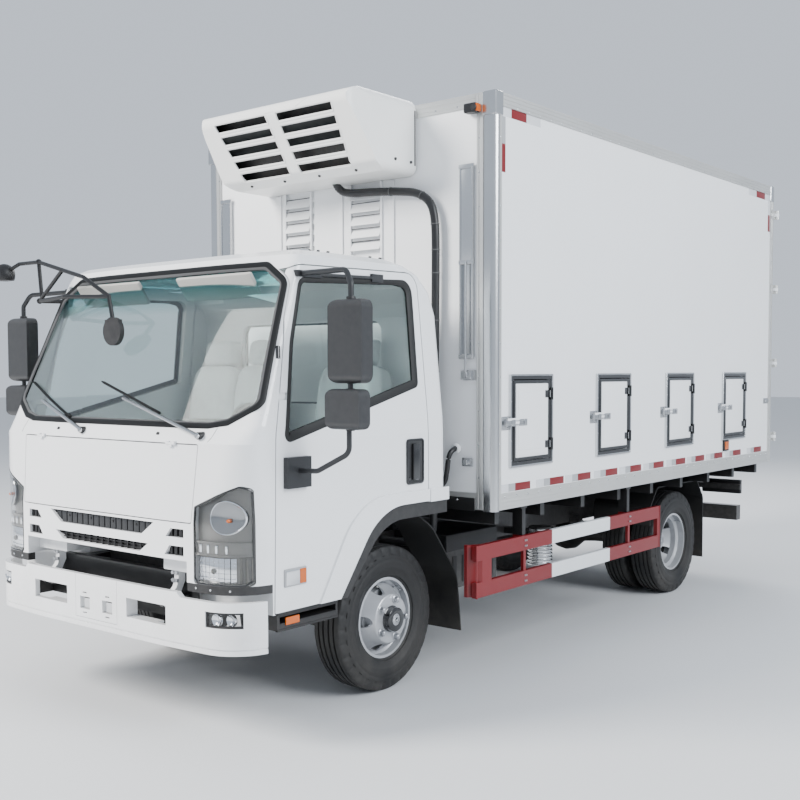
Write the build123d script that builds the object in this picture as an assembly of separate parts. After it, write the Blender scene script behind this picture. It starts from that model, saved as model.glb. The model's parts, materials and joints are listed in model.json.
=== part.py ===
from build123d import *
import math
import os

# Driving dimensions in millimetres. The truck faces -Y, +X is its own left side, +Z is up.
# The origin is on the ground, under the middle of the truck's length and width.
overall_length = 5995.0
front_overhang = 1235.0
wheelbase = 3360.0

# Wheels and tyres, 7.00R16 on five-stud disc wheels.
tyre_radius = 386.0
tyre_width = 200.0
tyre_wall = 14.0
bead_radius = 205.0
flange_radius = 222.0
rim_half_width = 74.0
rim_wall = 7.0
disc_offset = 116.0
disc_plate = 10.0
stud_circle = 104.0
hand_hole_circle = 166.0
hand_hole_radius = 30.0
wheel_bolts = 5
front_wheel_x = 750.0
rear_outer_x = 830.0
rear_inner_x = rear_outer_x - 2 * disc_offset
front_wheel_gap = 3.0

# Ladder frame.
frame_half_width = 375.0
rail_height = 180.0
rail_flange = 65.0
rail_web = 8.0
rail_top = 740.0

# Steering.
kingpin_x = 636.0
kingpin_radius = 18.0
boss_radius = 36.0
boss_height = 84.0
spindle_radius = 30.0
pivot_clearance = 0.05
steer_arm = 170.0
tie_pin_radius = 7.0

# Load box.
box_front = 552.0
box_length = 4151.0
box_half_width = 1152.5
box_bottom = 922.0
box_top = 3204.0
wall = 60.0
floor_thickness = 90.0
roof_thickness = 70.0
trim_skin = 6.0
post_width = 62.0
box_corner = 32.0
top_rail_height = 74.0
bottom_rail_height = 92.0
bearer_count = 9
bearer_depth = 88.0

# Side hatches: pitch and opening of the four small doors on each side.
hatch_count = 4
hatch_first = 926.0
hatch_pitch = 994.0
hatch_width = 400.0
hatch_height = 464.0
hatch_bottom = 1180.0
hatch_frame = 28.0
hatch_frame_proud = 10.0
hatch_gap = 6.0
hatch_leaf = 44.0
hatch_pin_radius = 5.0
hatch_knuckle_radius = 9.0

# Rear doors.
door_leaf = 55.0
door_gap = 7.0
door_pin_radius = 8.0
door_knuckle_radius = 15.0
door_pin_out = 20.0
door_pin_back = 34.0
rear_header = 110.0
rear_sill = 100.0

# Refrigeration unit on the front wall.
unit_half_width = 612.0
unit_wall = 10.0
unit_slots = 5

# Cab. Offsets along Y are measured from the front axle.
cab_wall = 45.0
door_clearance = 6.0
door_flange = 20.0
glass_thickness = 6.0
glass_inset = 9.0
glass_seat = 0.4
arch_radius = 370.0
floor_wall = 30.0
tunnel_half_width = 392.0
tunnel_top = 965.0
lid_thickness = 26.0
lamp_depth = 38.0

lid_axis_y = -1185.0
lid_axis_z = 1363.5

# Cab tilt hinge, just behind the bumper face.
tilt_y = -1170.0
tilt_z = 620.0
tilt_pin_radius = 14.0
tilt_eye_radius = 30.0
tilt_x = 480.0

# Front bumper.
bumper_half_width = 995.0
bumper_front = -front_overhang
bumper_rear = -1030.0
bumper_bottom = 430.0
bumper_top = 690.0
bumper_corner_top = 667.0
bumper_wall = 26.0

# Side guards.
guard_x = 1120.0
guard_front = 420.0
guard_rear = 2680.0
guard_bottom = 455.0
guard_top = 742.0
guard_rail = 84.0
guard_depth = 28.0
guard_posts = (921.0, 2221.0)

# Mirrors.
mirror_x = 1285.0
mirror_half_width = 100.0
mirror_y = -790.0

half_length = overall_length / 2
front_axle_y = -half_length + front_overhang
rear_axle_y = front_axle_y + wheelbase
hub_z = tyre_radius
box_y0 = front_axle_y + box_front
box_y1 = box_y0 + box_length
panel_half_width = box_half_width - trim_skin
tail_y = half_length

parts = {}


def from_axle(offset):
    """Y of a place given by its offset behind the front axle."""
    return front_axle_y + offset


def block(x, y, z):
    """Box between the low and high faces given for X, Y and Z."""
    centre = Pos((x[0] + x[1]) / 2, (y[0] + y[1]) / 2, (z[0] + z[1]) / 2)
    return centre * Box(abs(x[1] - x[0]), abs(y[1] - y[0]), abs(z[1] - z[0]))


def outline(rows):
    """Closed face from rows of (first axis, second axis, corner radius)."""
    line = FilletPolyline(*[(a, b) for a, b, r in rows], radius=[r for a, b, r in rows], close=True)
    return make_face(line)


def prism_x(rows, low, high):
    """Side outline in rows of (y, z, radius), from X low to high."""
    plane = Plane(origin=(low, 0, 0), x_dir=(0, 1, 0), z_dir=(1, 0, 0))
    return extrude(plane * outline(rows), amount=high - low, dir=(1, 0, 0))


def prism_y(rows, low, high):
    """Front outline in rows of (x, z, radius), from Y low to high."""
    plane = Plane(origin=(0, low, 0), x_dir=(1, 0, 0), z_dir=(0, -1, 0))
    return extrude(plane * outline(rows), amount=high - low, dir=(0, 1, 0))


def prism_z(rows, low, high):
    """Plan outline in rows of (x, y, radius), from Z low to high."""
    return extrude(Pos(0, 0, low) * outline(rows), amount=high - low, dir=(0, 0, 1))


def spun(rows, centre):
    """Solid of revolution about the X axis through centre, from rows of (x, r, radius)."""
    face = Plane.XZ * outline(rows)
    return Pos(*centre) * revolve(face, axis=Axis.X)


def rod(start, end, radius):
    """Round bar between two points."""
    line = Vector(*end) - Vector(*start)
    plane = Plane(origin=start, z_dir=line.normalized())
    return extrude(plane * Circle(radius), amount=line.length)


def tube(points, bends, radius):
    """Round bar along straight runs joined by bends of the given radii."""
    path = FilletPolyline(*points, radius=bends)
    plane = Plane(origin=path @ 0, z_dir=path % 0)
    return sweep(plane * Circle(radius), path=path)


def both_sides(shape):
    """The shape and its mirror image on the truck's other side."""
    return shape + mirror(shape, about=Plane.YZ)


def other_side(shape):
    """Mirror image on the truck's right side."""
    return mirror(shape, about=Plane.YZ)


def shifted(rows):
    """Side outline rows with Y given from the front axle."""
    return [(from_axle(y), z, r) for y, z, r in rows]


# Wheels
def make_tyre(x):
    """Hollow tyre carcass, open to the rim, with its middle plane at x."""
    half = tyre_width / 2
    bead = 57.0
    shoulder = 82.0
    outer = tyre_radius
    rows = [
        (-bead, bead_radius, 0),
        (-half, (bead_radius + outer) / 2, 70),
        (-shoulder, outer, 22),
        (shoulder, outer, 22),
        (half, (bead_radius + outer) / 2, 70),
        (bead, bead_radius, 0),
        (bead - tyre_wall, bead_radius, 0),
        (half - tyre_wall, (bead_radius + outer) / 2, 56),
        (shoulder - tyre_wall, outer - tyre_wall, 10),
        (tyre_wall - shoulder, outer - tyre_wall, 10),
        (tyre_wall - half, (bead_radius + outer) / 2, 56),
        (tyre_wall - bead, bead_radius, 0),
    ]
    return spun(rows, (x, 0, 0))


def make_rim(x, dish):
    """Disc wheel: dish is +1 where the disc bulges towards +X, -1 where it lies deep."""
    wheel = make_disc_wheel()
    return Pos(x, 0, 0) * (wheel if dish > 0 else other_side(wheel))


def make_disc_wheel():
    """Rim and disc about the X axis, with the disc bulging towards +X."""
    half = rim_half_width
    seat = bead_radius - pivot_clearance
    well = 176.0
    rim = spun(
        [
            (-half, flange_radius, 0),
            (-half, seat - 4, 0),
            (-30.0, seat - 6, 0),
            (-18.0, well, 0),
            (22.0, well, 0),
            (34.0, seat - 6, 0),
            (half, seat - 4, 0),
            (half, flange_radius, 0),
            (half - rim_wall, flange_radius, 0),
            (half - rim_wall - 2, seat, 0),
            (30.0, seat - 1, 0),
            (19.0, well + rim_wall, 0),
            (-15.0, well + rim_wall, 0),
            (-26.0, seat - 1, 0),
            (rim_wall + 2 - half, seat, 0),
            (rim_wall - half, flange_radius, 0),
        ],
        (0, 0, 0),
    )
    face = disc_offset
    back = face - disc_plate
    disc = spun(
        [
            (face, 66.0, 0),
            (face, 128.0, 12),
            (36.0, well + 3, 0),
            (22.0, well + 3, 0),
            (back, 124.0, 8),
            (back, 66.0, 0),
        ],
        (0, 0, 0),
    )
    for n in range(wheel_bolts):
        angle = 360 / wheel_bolts * n + 90
        hole = Rot(angle, 0, 0) * Pos(60, 0, hand_hole_circle) * Rot(0, 90, 0) * Cylinder(hand_hole_radius, 120)
        disc -= hole
    return rim + disc


def stud_ring(x, length, radius):
    """Wheel studs pointing to +X from the mounting face at x."""
    ring = None
    for n in range(wheel_bolts):
        angle = 360 / wheel_bolts * (n + 0.5) + 90
        stud = Rot(angle, 0, 0) * Pos(x + length / 2, 0, stud_circle) * Rot(0, 90, 0) * Cylinder(radius, length)
        ring = stud if ring is None else ring + stud
    return ring


def make_wheels():
    """Front wheels, twin rear wheels, their hubs and tyres."""
    front = Pos(0, front_axle_y, hub_z)
    rear = Pos(0, rear_axle_y, hub_z)
    bore = spindle_radius + pivot_clearance
    seat = front_wheel_x + disc_offset - disc_plate
    hub = spun(
        [
            (kingpin_x + 62, bore, 0),
            (kingpin_x + 62, 150.0, 0),
            (seat - 60, 150.0, 0),
            (seat - 60, 120.0, 0),
            (seat, 120.0, 0),
            (seat, 64.0, 0),
            (seat + 44, 58.0, 8),
            (seat + 44, 0, 0),
            (seat + 20, 0, 0),
            (seat + 20, bore, 0),
        ],
        (0, 0, 0),
    )
    rim = make_rim(front_wheel_x, 1) + hub + stud_ring(seat, 34.0, 11.0)
    parts["front_rim_left"] = front * rim
    parts["front_tyre_left"] = front * make_tyre(front_wheel_x)

    face = rear_inner_x + disc_offset
    rear_hub = spun(
        [
            (face - 150, axle_tube_radius + pivot_clearance, 0),
            (face - 150, 160.0, 0),
            (face - disc_plate, 160.0, 0),
            (face - disc_plate, 64.0, 0),
            (face + 96, 64.0, 10),
            (face + 96, 0, 0),
            (face + 4, 0, 0),
            (face + 4, axle_tube_radius + pivot_clearance, 0),
        ],
        (0, 0, 0),
    )
    pair = make_rim(rear_outer_x, -1) + make_rim(rear_inner_x, 1) + rear_hub
    pair += stud_ring(face, 40.0, 11.0)
    parts["rear_rims_left"] = rear * pair
    parts["rear_tyres_left"] = rear * (make_tyre(rear_outer_x) + make_tyre(rear_inner_x))
    for name in ("front_rim", "front_tyre", "rear_rims", "rear_tyres"):
        parts[name + "_right"] = other_side(parts[name + "_left"])


axle_tube_radius = 42.0


# Axles, knuckles, springs and frame
def make_running_gear():
    """Front beam, knuckles, rear axle, springs and propeller shaft."""
    hub = (front_axle_y, hub_z)
    eye = Pos(kingpin_x, hub[0], hub[1]) * Cylinder(boss_radius, boss_height)
    beam_drop = hub_z - 70.0
    beam = prism_y(
        [
            (0, beam_drop - 38, 0),
            (430, beam_drop - 38, 40),
            (kingpin_x - 60, hub_z - 36, 30),
            (kingpin_x - 8, hub_z - 36, 0),
            (kingpin_x - 8, hub_z + 36, 0),
            (kingpin_x - 60, hub_z + 36, 30),
            (415, beam_drop + 38, 40),
            (0, beam_drop + 38, 0),
        ],
        front_axle_y - 33,
        front_axle_y + 33,
    )
    web_cut = prism_y(
        [(0, beam_drop - 24, 0), (400, beam_drop - 24, 0), (400, beam_drop + 24, 0), (0, beam_drop + 24, 0)],
        front_axle_y + 12,
        front_axle_y + 40,
    )
    web_cut += prism_y(
        [(0, beam_drop - 24, 0), (400, beam_drop - 24, 0), (400, beam_drop + 24, 0), (0, beam_drop + 24, 0)],
        front_axle_y - 40,
        front_axle_y - 12,
    )
    bore = Pos(kingpin_x, hub[0], hub[1]) * Cylinder(kingpin_radius + pivot_clearance, boss_height + 20)
    parts["front_axle"] = both_sides(beam + eye - web_cut - bore)

    gap = pivot_clearance
    lug = 18.0
    low = hub_z - boss_height / 2 - gap - lug
    high = hub_z + boss_height / 2 + gap + lug
    knuckle = Pos(kingpin_x, hub[0], hub[1]) * Cylinder(kingpin_radius, high - low)
    for z in (low, high - lug):
        knuckle += block((kingpin_x - 30, kingpin_x + 54), (hub[0] - 34, hub[0] + 34), (z, z + lug))
    knuckle += block((kingpin_x + 42, kingpin_x + 54), (hub[0] - 60, hub[0] + 60), (low, high))
    knuckle += rod((kingpin_x + 50, hub[0], hub[1]), (front_wheel_x + 116, hub[0], hub[1]), spindle_radius)
    arm_end = (kingpin_x, hub[0] + steer_arm, low + lug / 2)
    knuckle += rod((kingpin_x, hub[0] + 26, low + lug / 2), arm_end, 8.0)
    knuckle += Pos(*arm_end) * Cylinder(17.0, lug)
    knuckle += Pos(kingpin_x, hub[0] + steer_arm, low - 10) * Cylinder(tie_pin_radius, 22)
    parts["knuckle_left"] = knuckle
    parts["knuckle_right"] = other_side(knuckle)
    tie = rod((0, hub[0] + steer_arm, low - 10), (kingpin_x - 14, hub[0] + steer_arm, low - 10), 8.0)
    tie += Pos(kingpin_x, hub[0] + steer_arm, low - 10) * Cylinder(16.0, 17)
    tie -= Pos(kingpin_x, hub[0] + steer_arm, low - 10) * Cylinder(tie_pin_radius + pivot_clearance, 24)
    parts["tie_rod"] = both_sides(tie)

    face = rear_inner_x + disc_offset
    tube_half = face - 6
    housing = rod((0, rear_axle_y, hub_z), (tube_half, rear_axle_y, hub_z), axle_tube_radius)
    housing += spun([(0, 0, 0), (0, 150, 0), (70, 135, 30), (150, 70, 30), (250, 60, 0), (470, 54, 0), (470, 0, 0)],
                    (0, rear_axle_y, hub_z))
    housing = both_sides(housing)
    nose = rod((0, rear_axle_y, hub_z), (0, rear_axle_y - 260, hub_z + 10), 70.0)
    for x in (-frame_half_width - 40, frame_half_width + 40):
        housing += block((x - 38, x + 38), (rear_axle_y - 50, rear_axle_y + 50), (hub_z + 20, 450))
    parts["rear_axle"] = housing + nose

    springs = None
    for y, z, length, x, leaves in spring_sets:
        pack = None
        for n in range(leaves):
            half = length / 2 * (1 - 0.2 * n)
            rise = 70.0 * (half / (length / 2)) ** 2
            base = z - 11.0 * n
            rows = [
                (y - half, base + rise, 0),
                (y, base - rise * 0.02, length),
                (y + half, base + rise, 0),
                (y + half, base + rise - 11, 0),
                (y, base - 11 - rise * 0.02, length),
                (y - half, base + rise - 11, 0),
            ]
            leaf = prism_x(rows, x - 35, x + 35)
            pack = leaf if pack is None else pack + leaf
        pack += block((x - 42, x + 42), (y - 60, y + 60), (z - 11.0 * leaves - 6, z + 14))
        hanger_z = rail_top - rail_height
        for side in (-1, 1):
            end = y + side * length / 2
            pack += Pos(x, end, z + 66) * Rot(0, 90, 0) * Cylinder(20, 74)
            pack += block((max(x - 30, 309), x + 30), (end - 16, end + 16), (z + 66, hanger_z))
            if x > frame_half_width:
                pack += block((frame_half_width, x + 30), (end - 16, end + 16), (hanger_z, hanger_z + 60))
        springs = pack if springs is None else springs + pack
    parts["leaf_springs"] = both_sides(springs)



# Leaf springs: axle Y, pack top Z, length, X of the pack, number of leaves.
spring_sets = (
    (front_axle_y, 393.0, 1180.0, frame_half_width - 36.0, 3),
    (rear_axle_y, 500.0, 1240.0, frame_half_width + 40.0, 4),
)


def make_frame():
    """Ladder frame with its cross members, engine, tanks, battery box and exhaust."""
    low = rail_top - rail_height
    front = from_axle(-1080)
    rear = tail_y - 230
    inner = frame_half_width - rail_flange
    rail = block((inner, frame_half_width), (front, rear), (low, rail_top))
    rail -= block((inner - 5, frame_half_width - rail_web), (front - 5, rear + 5), (low + rail_web, rail_top - rail_web))
    frame = both_sides(rail)
    for y in cross_members:
        tie = block((-frame_half_width + rail_web, frame_half_width - rail_web), (y - 30, y + 30), (low + 30, rail_top - 30))
        tie -= block((-frame_half_width, frame_half_width), (y - 22, y + 40), (low + 38, rail_top - 38))
        frame += tie
    frame += block((-tilt_x - 60, tilt_x + 60), (front, front + 45), (low, rail_top))
    ear = prism_x(
        [(from_axle(tilt_y), tilt_z - tilt_eye_radius, 0), (front + 10, tilt_z - tilt_eye_radius, 0),
         (front + 10, tilt_z + tilt_eye_radius - 6, 0), (from_axle(tilt_y), tilt_z + tilt_eye_radius - 6, 0)],
        -12, 12)
    ear += Pos(0, from_axle(tilt_y), tilt_z) * Rot(0, 90, 0) * Cylinder(tilt_eye_radius, 24)
    for side in (-1, 1):
        for offset in (-32, 32):
            frame += Pos(side * tilt_x + offset, 0, 0) * ear
        pin = Pos(side * tilt_x, from_axle(tilt_y), tilt_z) * Rot(0, 90, 0) * Cylinder(tilt_pin_radius, 88)
        frame += pin
    for x in (-620, 620):
        arm = block((x - 24, x + 24), (from_axle(bumper_front) + 20, front + 30), (520, 590))
        frame += arm
    frame += block((-645, 645), (front, front + 40), (520, 590))
    parts["frame_rails"] = frame - parts["front_bumper"]

    driveline = block((-270, 270), (from_axle(-560), from_axle(330)), (430, 920))
    driveline += block((-150, 150), (from_axle(330), from_axle(560)), (440, 690))
    driveline += block((-290, 290), (from_axle(-930), from_axle(-850)), (500, 880))
    for x, z in ((170, 830), (-170, 560)):
        driveline += rod((x, from_axle(-851), z), (x, from_axle(-559), z), 28.0)
    driveline += rod((0, from_axle(559), 548), (0, rear_axle_y - 250, hub_z + 10), 38.0)
    driveline -= parts["rear_axle"]
    parts["driveline"] = driveline

    tank = prism_x(shifted([(1180, 400, 50), (1980, 400, 50), (1980, 760, 50), (1180, 760, 50)]), -700, -430)
    for y in (1350, 1810):
        tank += block((-640, -frame_half_width), (from_axle(y) - 20, from_axle(y) + 20), (640, 700))
    battery = prism_x(shifted([(640, 420, 12), (1160, 420, 12), (1160, 740, 12), (640, 740, 12)]),
                      frame_half_width, 760)
    parts["battery_box"] = battery
    canister = Pos(640, from_axle(1870), 515) * Cylinder(76, 262)
    canister += block((frame_half_width, 600), (from_axle(1840), from_axle(1900)), (580, 620))
    parts["tanks"] = tank + canister
    muffler = rod((-560, from_axle(760), 560), (-560, from_axle(1150), 560), 110.0)
    muffler += tube([(-560, from_axle(780), 520), (-560, from_axle(690), 520), (-240, from_axle(690), 520),
                     (-240, from_axle(330), 520)], [55, 55], 30.0)
    muffler += block((-600, -frame_half_width), (from_axle(940), from_axle(980)), (655, 700))
    parts["exhaust"] = muffler


cross_members = [from_axle(y) for y in (600, 1300, 2000, 2700, 3900)]


# Load box
def make_box():
    """Insulated load box: floor, walls, roof, edge frame, hatches and rear doors."""
    w = panel_half_width
    y0 = box_y0 + trim_skin
    y1 = box_y1 - trim_skin
    floor_top = box_bottom + floor_thickness
    roof_low = box_top - trim_skin - roof_thickness
    inner = w - wall
    floor = box_plan(trim_skin, box_bottom + trim_skin, floor_top)
    for x in (-frame_half_width + 32, frame_half_width - 32):
        floor += block((x - 32, x + 32), (y0 + 64, y1 - 64), (rail_top, box_bottom + trim_skin))
    for n in range(bearer_count):
        y = bearer_y(n)
        floor += block((64 - w, w - 64), (y - 22, y + 22), (box_bottom - bearer_depth, box_bottom + trim_skin))
    parts["box_floor"] = floor

    parts["box_front_wall"] = front_wall(y0, floor_top, roof_low)
    side = block((inner, w), (y0 + wall, y1), (floor_top, roof_low))
    frames = None
    for n in range(hatch_count):
        y = hatch_y(n)
        hole = block((inner - 5, w + 25), (y - hatch_width / 2, y + hatch_width / 2),
                     (hatch_bottom, hatch_bottom + hatch_height))
        side -= hole
        ring = block((w, w + hatch_frame_proud),
                     (y - hatch_width / 2 - hatch_frame, y + hatch_width / 2 + hatch_frame),
                     (hatch_bottom - hatch_frame, hatch_bottom + hatch_height + hatch_frame))
        ring -= hole
        pin_x = w + hatch_frame_proud + hatch_knuckle_radius + 2
        pin_y = y + hatch_width / 2
        for z in (hatch_bottom + hatch_gap + 80, hatch_bottom + hatch_height - hatch_gap - 80):
            for low in (z - 35, z + 21):
                ring += block((w + hatch_frame_proud, pin_x), (pin_y, pin_y + hatch_knuckle_radius), (low, low + 14))
                ring += Pos(pin_x, pin_y, low + 7) * Cylinder(hatch_knuckle_radius, 14)
            ring += Pos(pin_x, pin_y, z) * Cylinder(hatch_pin_radius, 70)
        frames = ring if frames is None else frames + ring
        make_hatch(n, y)
    parts["box_side_left"] = side
    parts["box_side_right"] = other_side(side)
    cover = block((925, 1016), (box_y0 - 12, y0), (1770, 2806))
    cover -= block((940, 1001), (box_y0 - 14, y0 - 5), (1786, 2290))
    frames += cover
    frames += block((947, 1028), (box_y0 - 12, y0), (1640, 1696))
    parts["box_hardware"] = both_sides(frames)
    parts["box_roof"] = box_plan(trim_skin, roof_low, box_top - trim_skin)
    make_edge_frame(y0, y1)
    make_rear_doors(floor_top, roof_low)


def box_plan(inset, low, high):
    """Load box plan with rounded front corners, drawn in by inset."""
    w = box_half_width - inset
    front = box_y0 + inset
    rear = box_y1 - inset
    corner = box_corner - inset
    return prism_z([(w, rear, 0), (w, front, corner), (-w, front, corner), (-w, rear, 0)], low, high)


def bearer_y(n):
    """Middle of floor cross-bearer n along Y."""
    return box_y0 + trim_skin + 120 + n * (box_length - 260) / (bearer_count - 1)


def hatch_y(n):
    """Middle of side hatch n along Y."""
    return from_axle(hatch_first) + n * hatch_pitch


def front_wall(y0, floor_top, roof_low):
    """Front wall with its pleated air louvres and the two tall vent slots."""
    w = panel_half_width
    shell = block((-w, w), (y0, y0 + wall), (floor_top, roof_low)) & box_plan(trim_skin, floor_top, roof_low)
    for x in (-310, 232):
        shell -= block((x - 120, x + 120), (y0 - 5, y0 + 14), (2370, 2810))
        for n in range(6):
            z = 2400 + n * 68
            shell += block((x - 120, x + 120), (y0 + 2, y0 + 14), (z, z + 30))
    for side in (-1, 1):
        slot = block((side * 970 - 26, side * 970 + 26), (y0 - 5, y0 + wall + 5), (1830, 2760))
        shell -= slot
    return shell


def make_hatch(n, y):
    """One side hatch leaf with its latch strap, hinged on its rear edge."""
    w = panel_half_width
    gap = hatch_gap
    y_low = y - hatch_width / 2 + gap
    y_high = y + hatch_width / 2 - gap
    z_low = hatch_bottom + gap
    z_high = hatch_bottom + hatch_height - gap
    face = w + hatch_frame_proud
    leaf = block((face - hatch_leaf, face), (y_low, y_high), (z_low, z_high))
    pin_y = y + hatch_width / 2
    pin_x = face + hatch_knuckle_radius + 2
    for z in (z_low + 80, z_high - 80):
        strap = block((face, face + 5), (y_high - 60, pin_y), (z - 20, z + 20))
        strap += block((face, pin_x), (pin_y - 9, pin_y), (z - 20, z + 20))
        strap += Pos(pin_x, pin_y, z) * Cylinder(hatch_knuckle_radius, 40)
        strap -= Pos(pin_x, pin_y, z) * Cylinder(hatch_pin_radius + pivot_clearance, 44)
        leaf += strap
    middle = (z_low + z_high) / 2
    latch = block((face, face + 8), (y_low, y_low + 70), (middle - 16, middle + 16))
    latch += block((face + 3, face + 8), (y_low - hatch_frame - 40, y_low), (middle - 16, middle + 16))
    leaf += latch
    parts[f"hatch_left_{n + 1}"] = leaf
    parts[f"hatch_right_{n + 1}"] = other_side(leaf)


def make_edge_frame(y0, y1):
    """Aluminium corner posts and rails, with the steel rear door frame."""
    w = box_half_width
    skin = trim_skin
    frame = box_plan(0, box_bottom, box_top) - box_plan(skin, box_bottom + skin, box_top - skin)
    keep = None
    for side in (-1, 1):
        for y in (box_y0, box_y1):
            inward = 1 if y == box_y0 else -1
            post = block((side * w, side * (w - post_width)), (y, y + inward * post_width), (box_bottom, box_top))
            keep = post if keep is None else keep + post
        keep += block((side * w, side * (w - 60)), (box_y0, box_y1), (box_top - top_rail_height, box_top))
        keep += block((side * w, side * (w - 60)), (box_y0, box_y1), (box_bottom, box_bottom + bottom_rail_height))
    keep += block((-w, w), (box_y0, box_y0 + 50), (box_top - top_rail_height, box_top))
    keep += block((-w, w), (box_y0, box_y0 + 50), (box_bottom, box_bottom + bottom_rail_height))
    frame = frame & keep
    parts["box_edge_frame"] = frame


def make_rear_doors(floor_top, roof_low):
    """Rear frame and the two full-height leaves on outside hinges."""
    w = panel_half_width
    y1 = box_y1
    inner = w - wall
    sill_top = floor_top
    head_low = box_top - rear_header
    frame = block((-box_half_width, box_half_width), (y1, y1 + 4), (box_bottom, box_top))
    opening = block((-inner, inner), (y1 - 100, y1 + 50), (sill_top, head_low))
    frame -= opening
    hinge_z = [sill_top + 120 + n * (head_low - sill_top - 240) / 3 for n in range(4)]
    pin_x = box_half_width + door_pin_out
    pin_y = y1 + door_pin_back
    for z in hinge_z:
        for side in (-1, 1):
            for low, high in ((z - 36, z - 13), (z + 13, z + 36)):
                eye = block((side * box_half_width, side * (box_half_width + 6)), (y1 - 50, pin_y), (low, high))
                eye += block((side * box_half_width, side * pin_x), (pin_y - 8, pin_y), (low, high))
                eye += Pos(side * pin_x, pin_y, (low + high) / 2) * Cylinder(door_knuckle_radius, high - low)
                frame += eye
            frame += Pos(side * pin_x, pin_y, z) * Cylinder(door_pin_radius, 72)
    parts["box_edge_frame"] += frame

    low = sill_top + door_gap
    high = head_low - door_gap
    leaf = block((door_gap / 2, inner - door_gap), (y1 - door_leaf + 10, y1 + 10), (low, high))
    for z in hinge_z:
        strap = block((inner - 230, pin_x), (y1 + 10, y1 + 18), (z - 12, z + 12))
        strap += block((pin_x - 6, pin_x), (y1 + 10, pin_y), (z - 12, z + 12))
        strap += Pos(pin_x, pin_y, z) * Cylinder(door_knuckle_radius, 24)
        strap -= Pos(pin_x, pin_y, z) * Cylinder(door_pin_radius + pivot_clearance, 30)
        leaf += strap
    for x in (260, 800):
        leaf += rod((x, y1 + 38, low - 60), (x, y1 + 38, high + 60), 11.0)
        for z in (low + 150, (low + high) / 2, high - 150):
            leaf += block((x - 30, x + 30), (y1 + 10, y1 + 46), (z - 25, z + 25))
        leaf += block((x - 10, x + 190), (y1 + 34, tail_y), (1480, 1504))
    parts["rear_door_left"] = leaf
    parts["rear_door_right"] = other_side(leaf)


def make_unit():
    """Refrigeration unit on the front wall, its slats and its hoses."""
    skin = unit_housing(0)
    core = unit_housing(unit_wall)
    housing = skin - core
    slats = None
    for n in range(unit_slots):
        z = 3128 - n * 66
        y = -30 + n * 44
        outer = 462 - 8 * n
        for side in (-1, 1):
            cut = block((side * 45, side * outer), (from_axle(y - 60), from_axle(y + 60)), (z - 19, z + 19))
            housing -= cut
    wall_y = from_axle(box_front) - 0.3
    parts["unit_housing"] = housing
    pack = prism_x(
        shifted([(60, 3190, 0), (140, 3190, 0), (390, 2806 + unit_wall, 0), (310, 2806 + unit_wall, 0)]),
        -540, 540)
    parts["unit_core"] = pack
    z_low = 2806
    hose = tube(
        [(70, from_axle(490), z_low), (74, from_axle(492), 2756), (520, from_axle(505), 2722), (740, from_axle(508), 2660),
         (782, from_axle(510), 2350), (764, from_axle(512), 900), (690, from_axle(512), 700),
         (frame_half_width, from_axle(512), 700)],
        [30, 120, 110, 300, 90, 90], 24.0)
    parts["unit_hoses"] = hose - block((-400, 400), (from_axle(300), from_axle(552)), (z_low, 2900))


def unit_housing(inset):
    """Rounded wedge housing, drawn in by inset."""
    i = inset
    side = prism_x(
        shifted([
            (box_front - 0.3 - (0 if i == 0 else -40), 2806 + i, 0),
            (300, 2802 + i, 60),
            (196, 2842 + i, 60),
            (-42 + i, 3190 - i, 50),
            (120, 3240 - i, 300),
            (box_front - 0.3 - (0 if i == 0 else -40), 3232 - i, 0),
        ]),
        -700, 700)
    w = unit_half_width - i
    plan = prism_z(
        [
            (w, from_axle(700), 0), (w, from_axle(160), 0), (w - 36, from_axle(-60 + i), 110 - i),
            (36 - w, from_axle(-60 + i), 110 - i), (-w, from_axle(160), 0), (-w, from_axle(700), 0),
        ], 2700, 3400)
    front = prism_y(
        [(w, 2806 + i, 50), (w, 3236 - i, 70), (-w, 3236 - i, 70), (-w, 2806 + i, 50)],
        from_axle(-200), from_axle(box_front - 0.3 if i == 0 else 700))
    return side & plan & front


# Cab skin levels: height, half width, front at the middle, bow of the front, rear, corner radius.
cab_levels = (
    (560, 985, -1206, 30, 340, 230),
    (1010, 985, -1206, 30, 340, 230),
    (1370, 984, -1181, 40, 340, 150),
    (1450, 980, -1131, 62, 340, 75),
    (1990, 927, -885, 50, 337, 50),
    (2110, 914, -831, 46, 300, 50),
    (2200, 905, -790, 42, 205, 55),
    (2245, 885, -765, 40, 110, 60),
    (2272, 845, -705, 35, 20, 60),
    (2288, 760, -590, 30, -100, 60),
)
crown_radius = 3000.0
rear_corner = 55.0


def cab_skin(inset, bottom=None):
    """Outer form of the cab drawn in by inset, from few plan outlines."""
    sections = []
    for z, half, front, bow, rear, corner in cab_levels:
        h = half - inset
        f = from_axle(front + inset)
        r = from_axle(rear - inset)
        height = z - inset if z > 2000 else z
        c = max(corner - inset, 14)
        rc = max(rear_corner - inset, 10)
        rows = [(h, r, rc), (h, f + bow, c), (h / 2, f, crown_radius), (-h / 2, f, crown_radius),
                (-h, f + bow, c), (-h, r, rc)]
        sections.append(Pos(0, 0, height) * outline(rows))
    return loft(sections, ruled=True)


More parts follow.
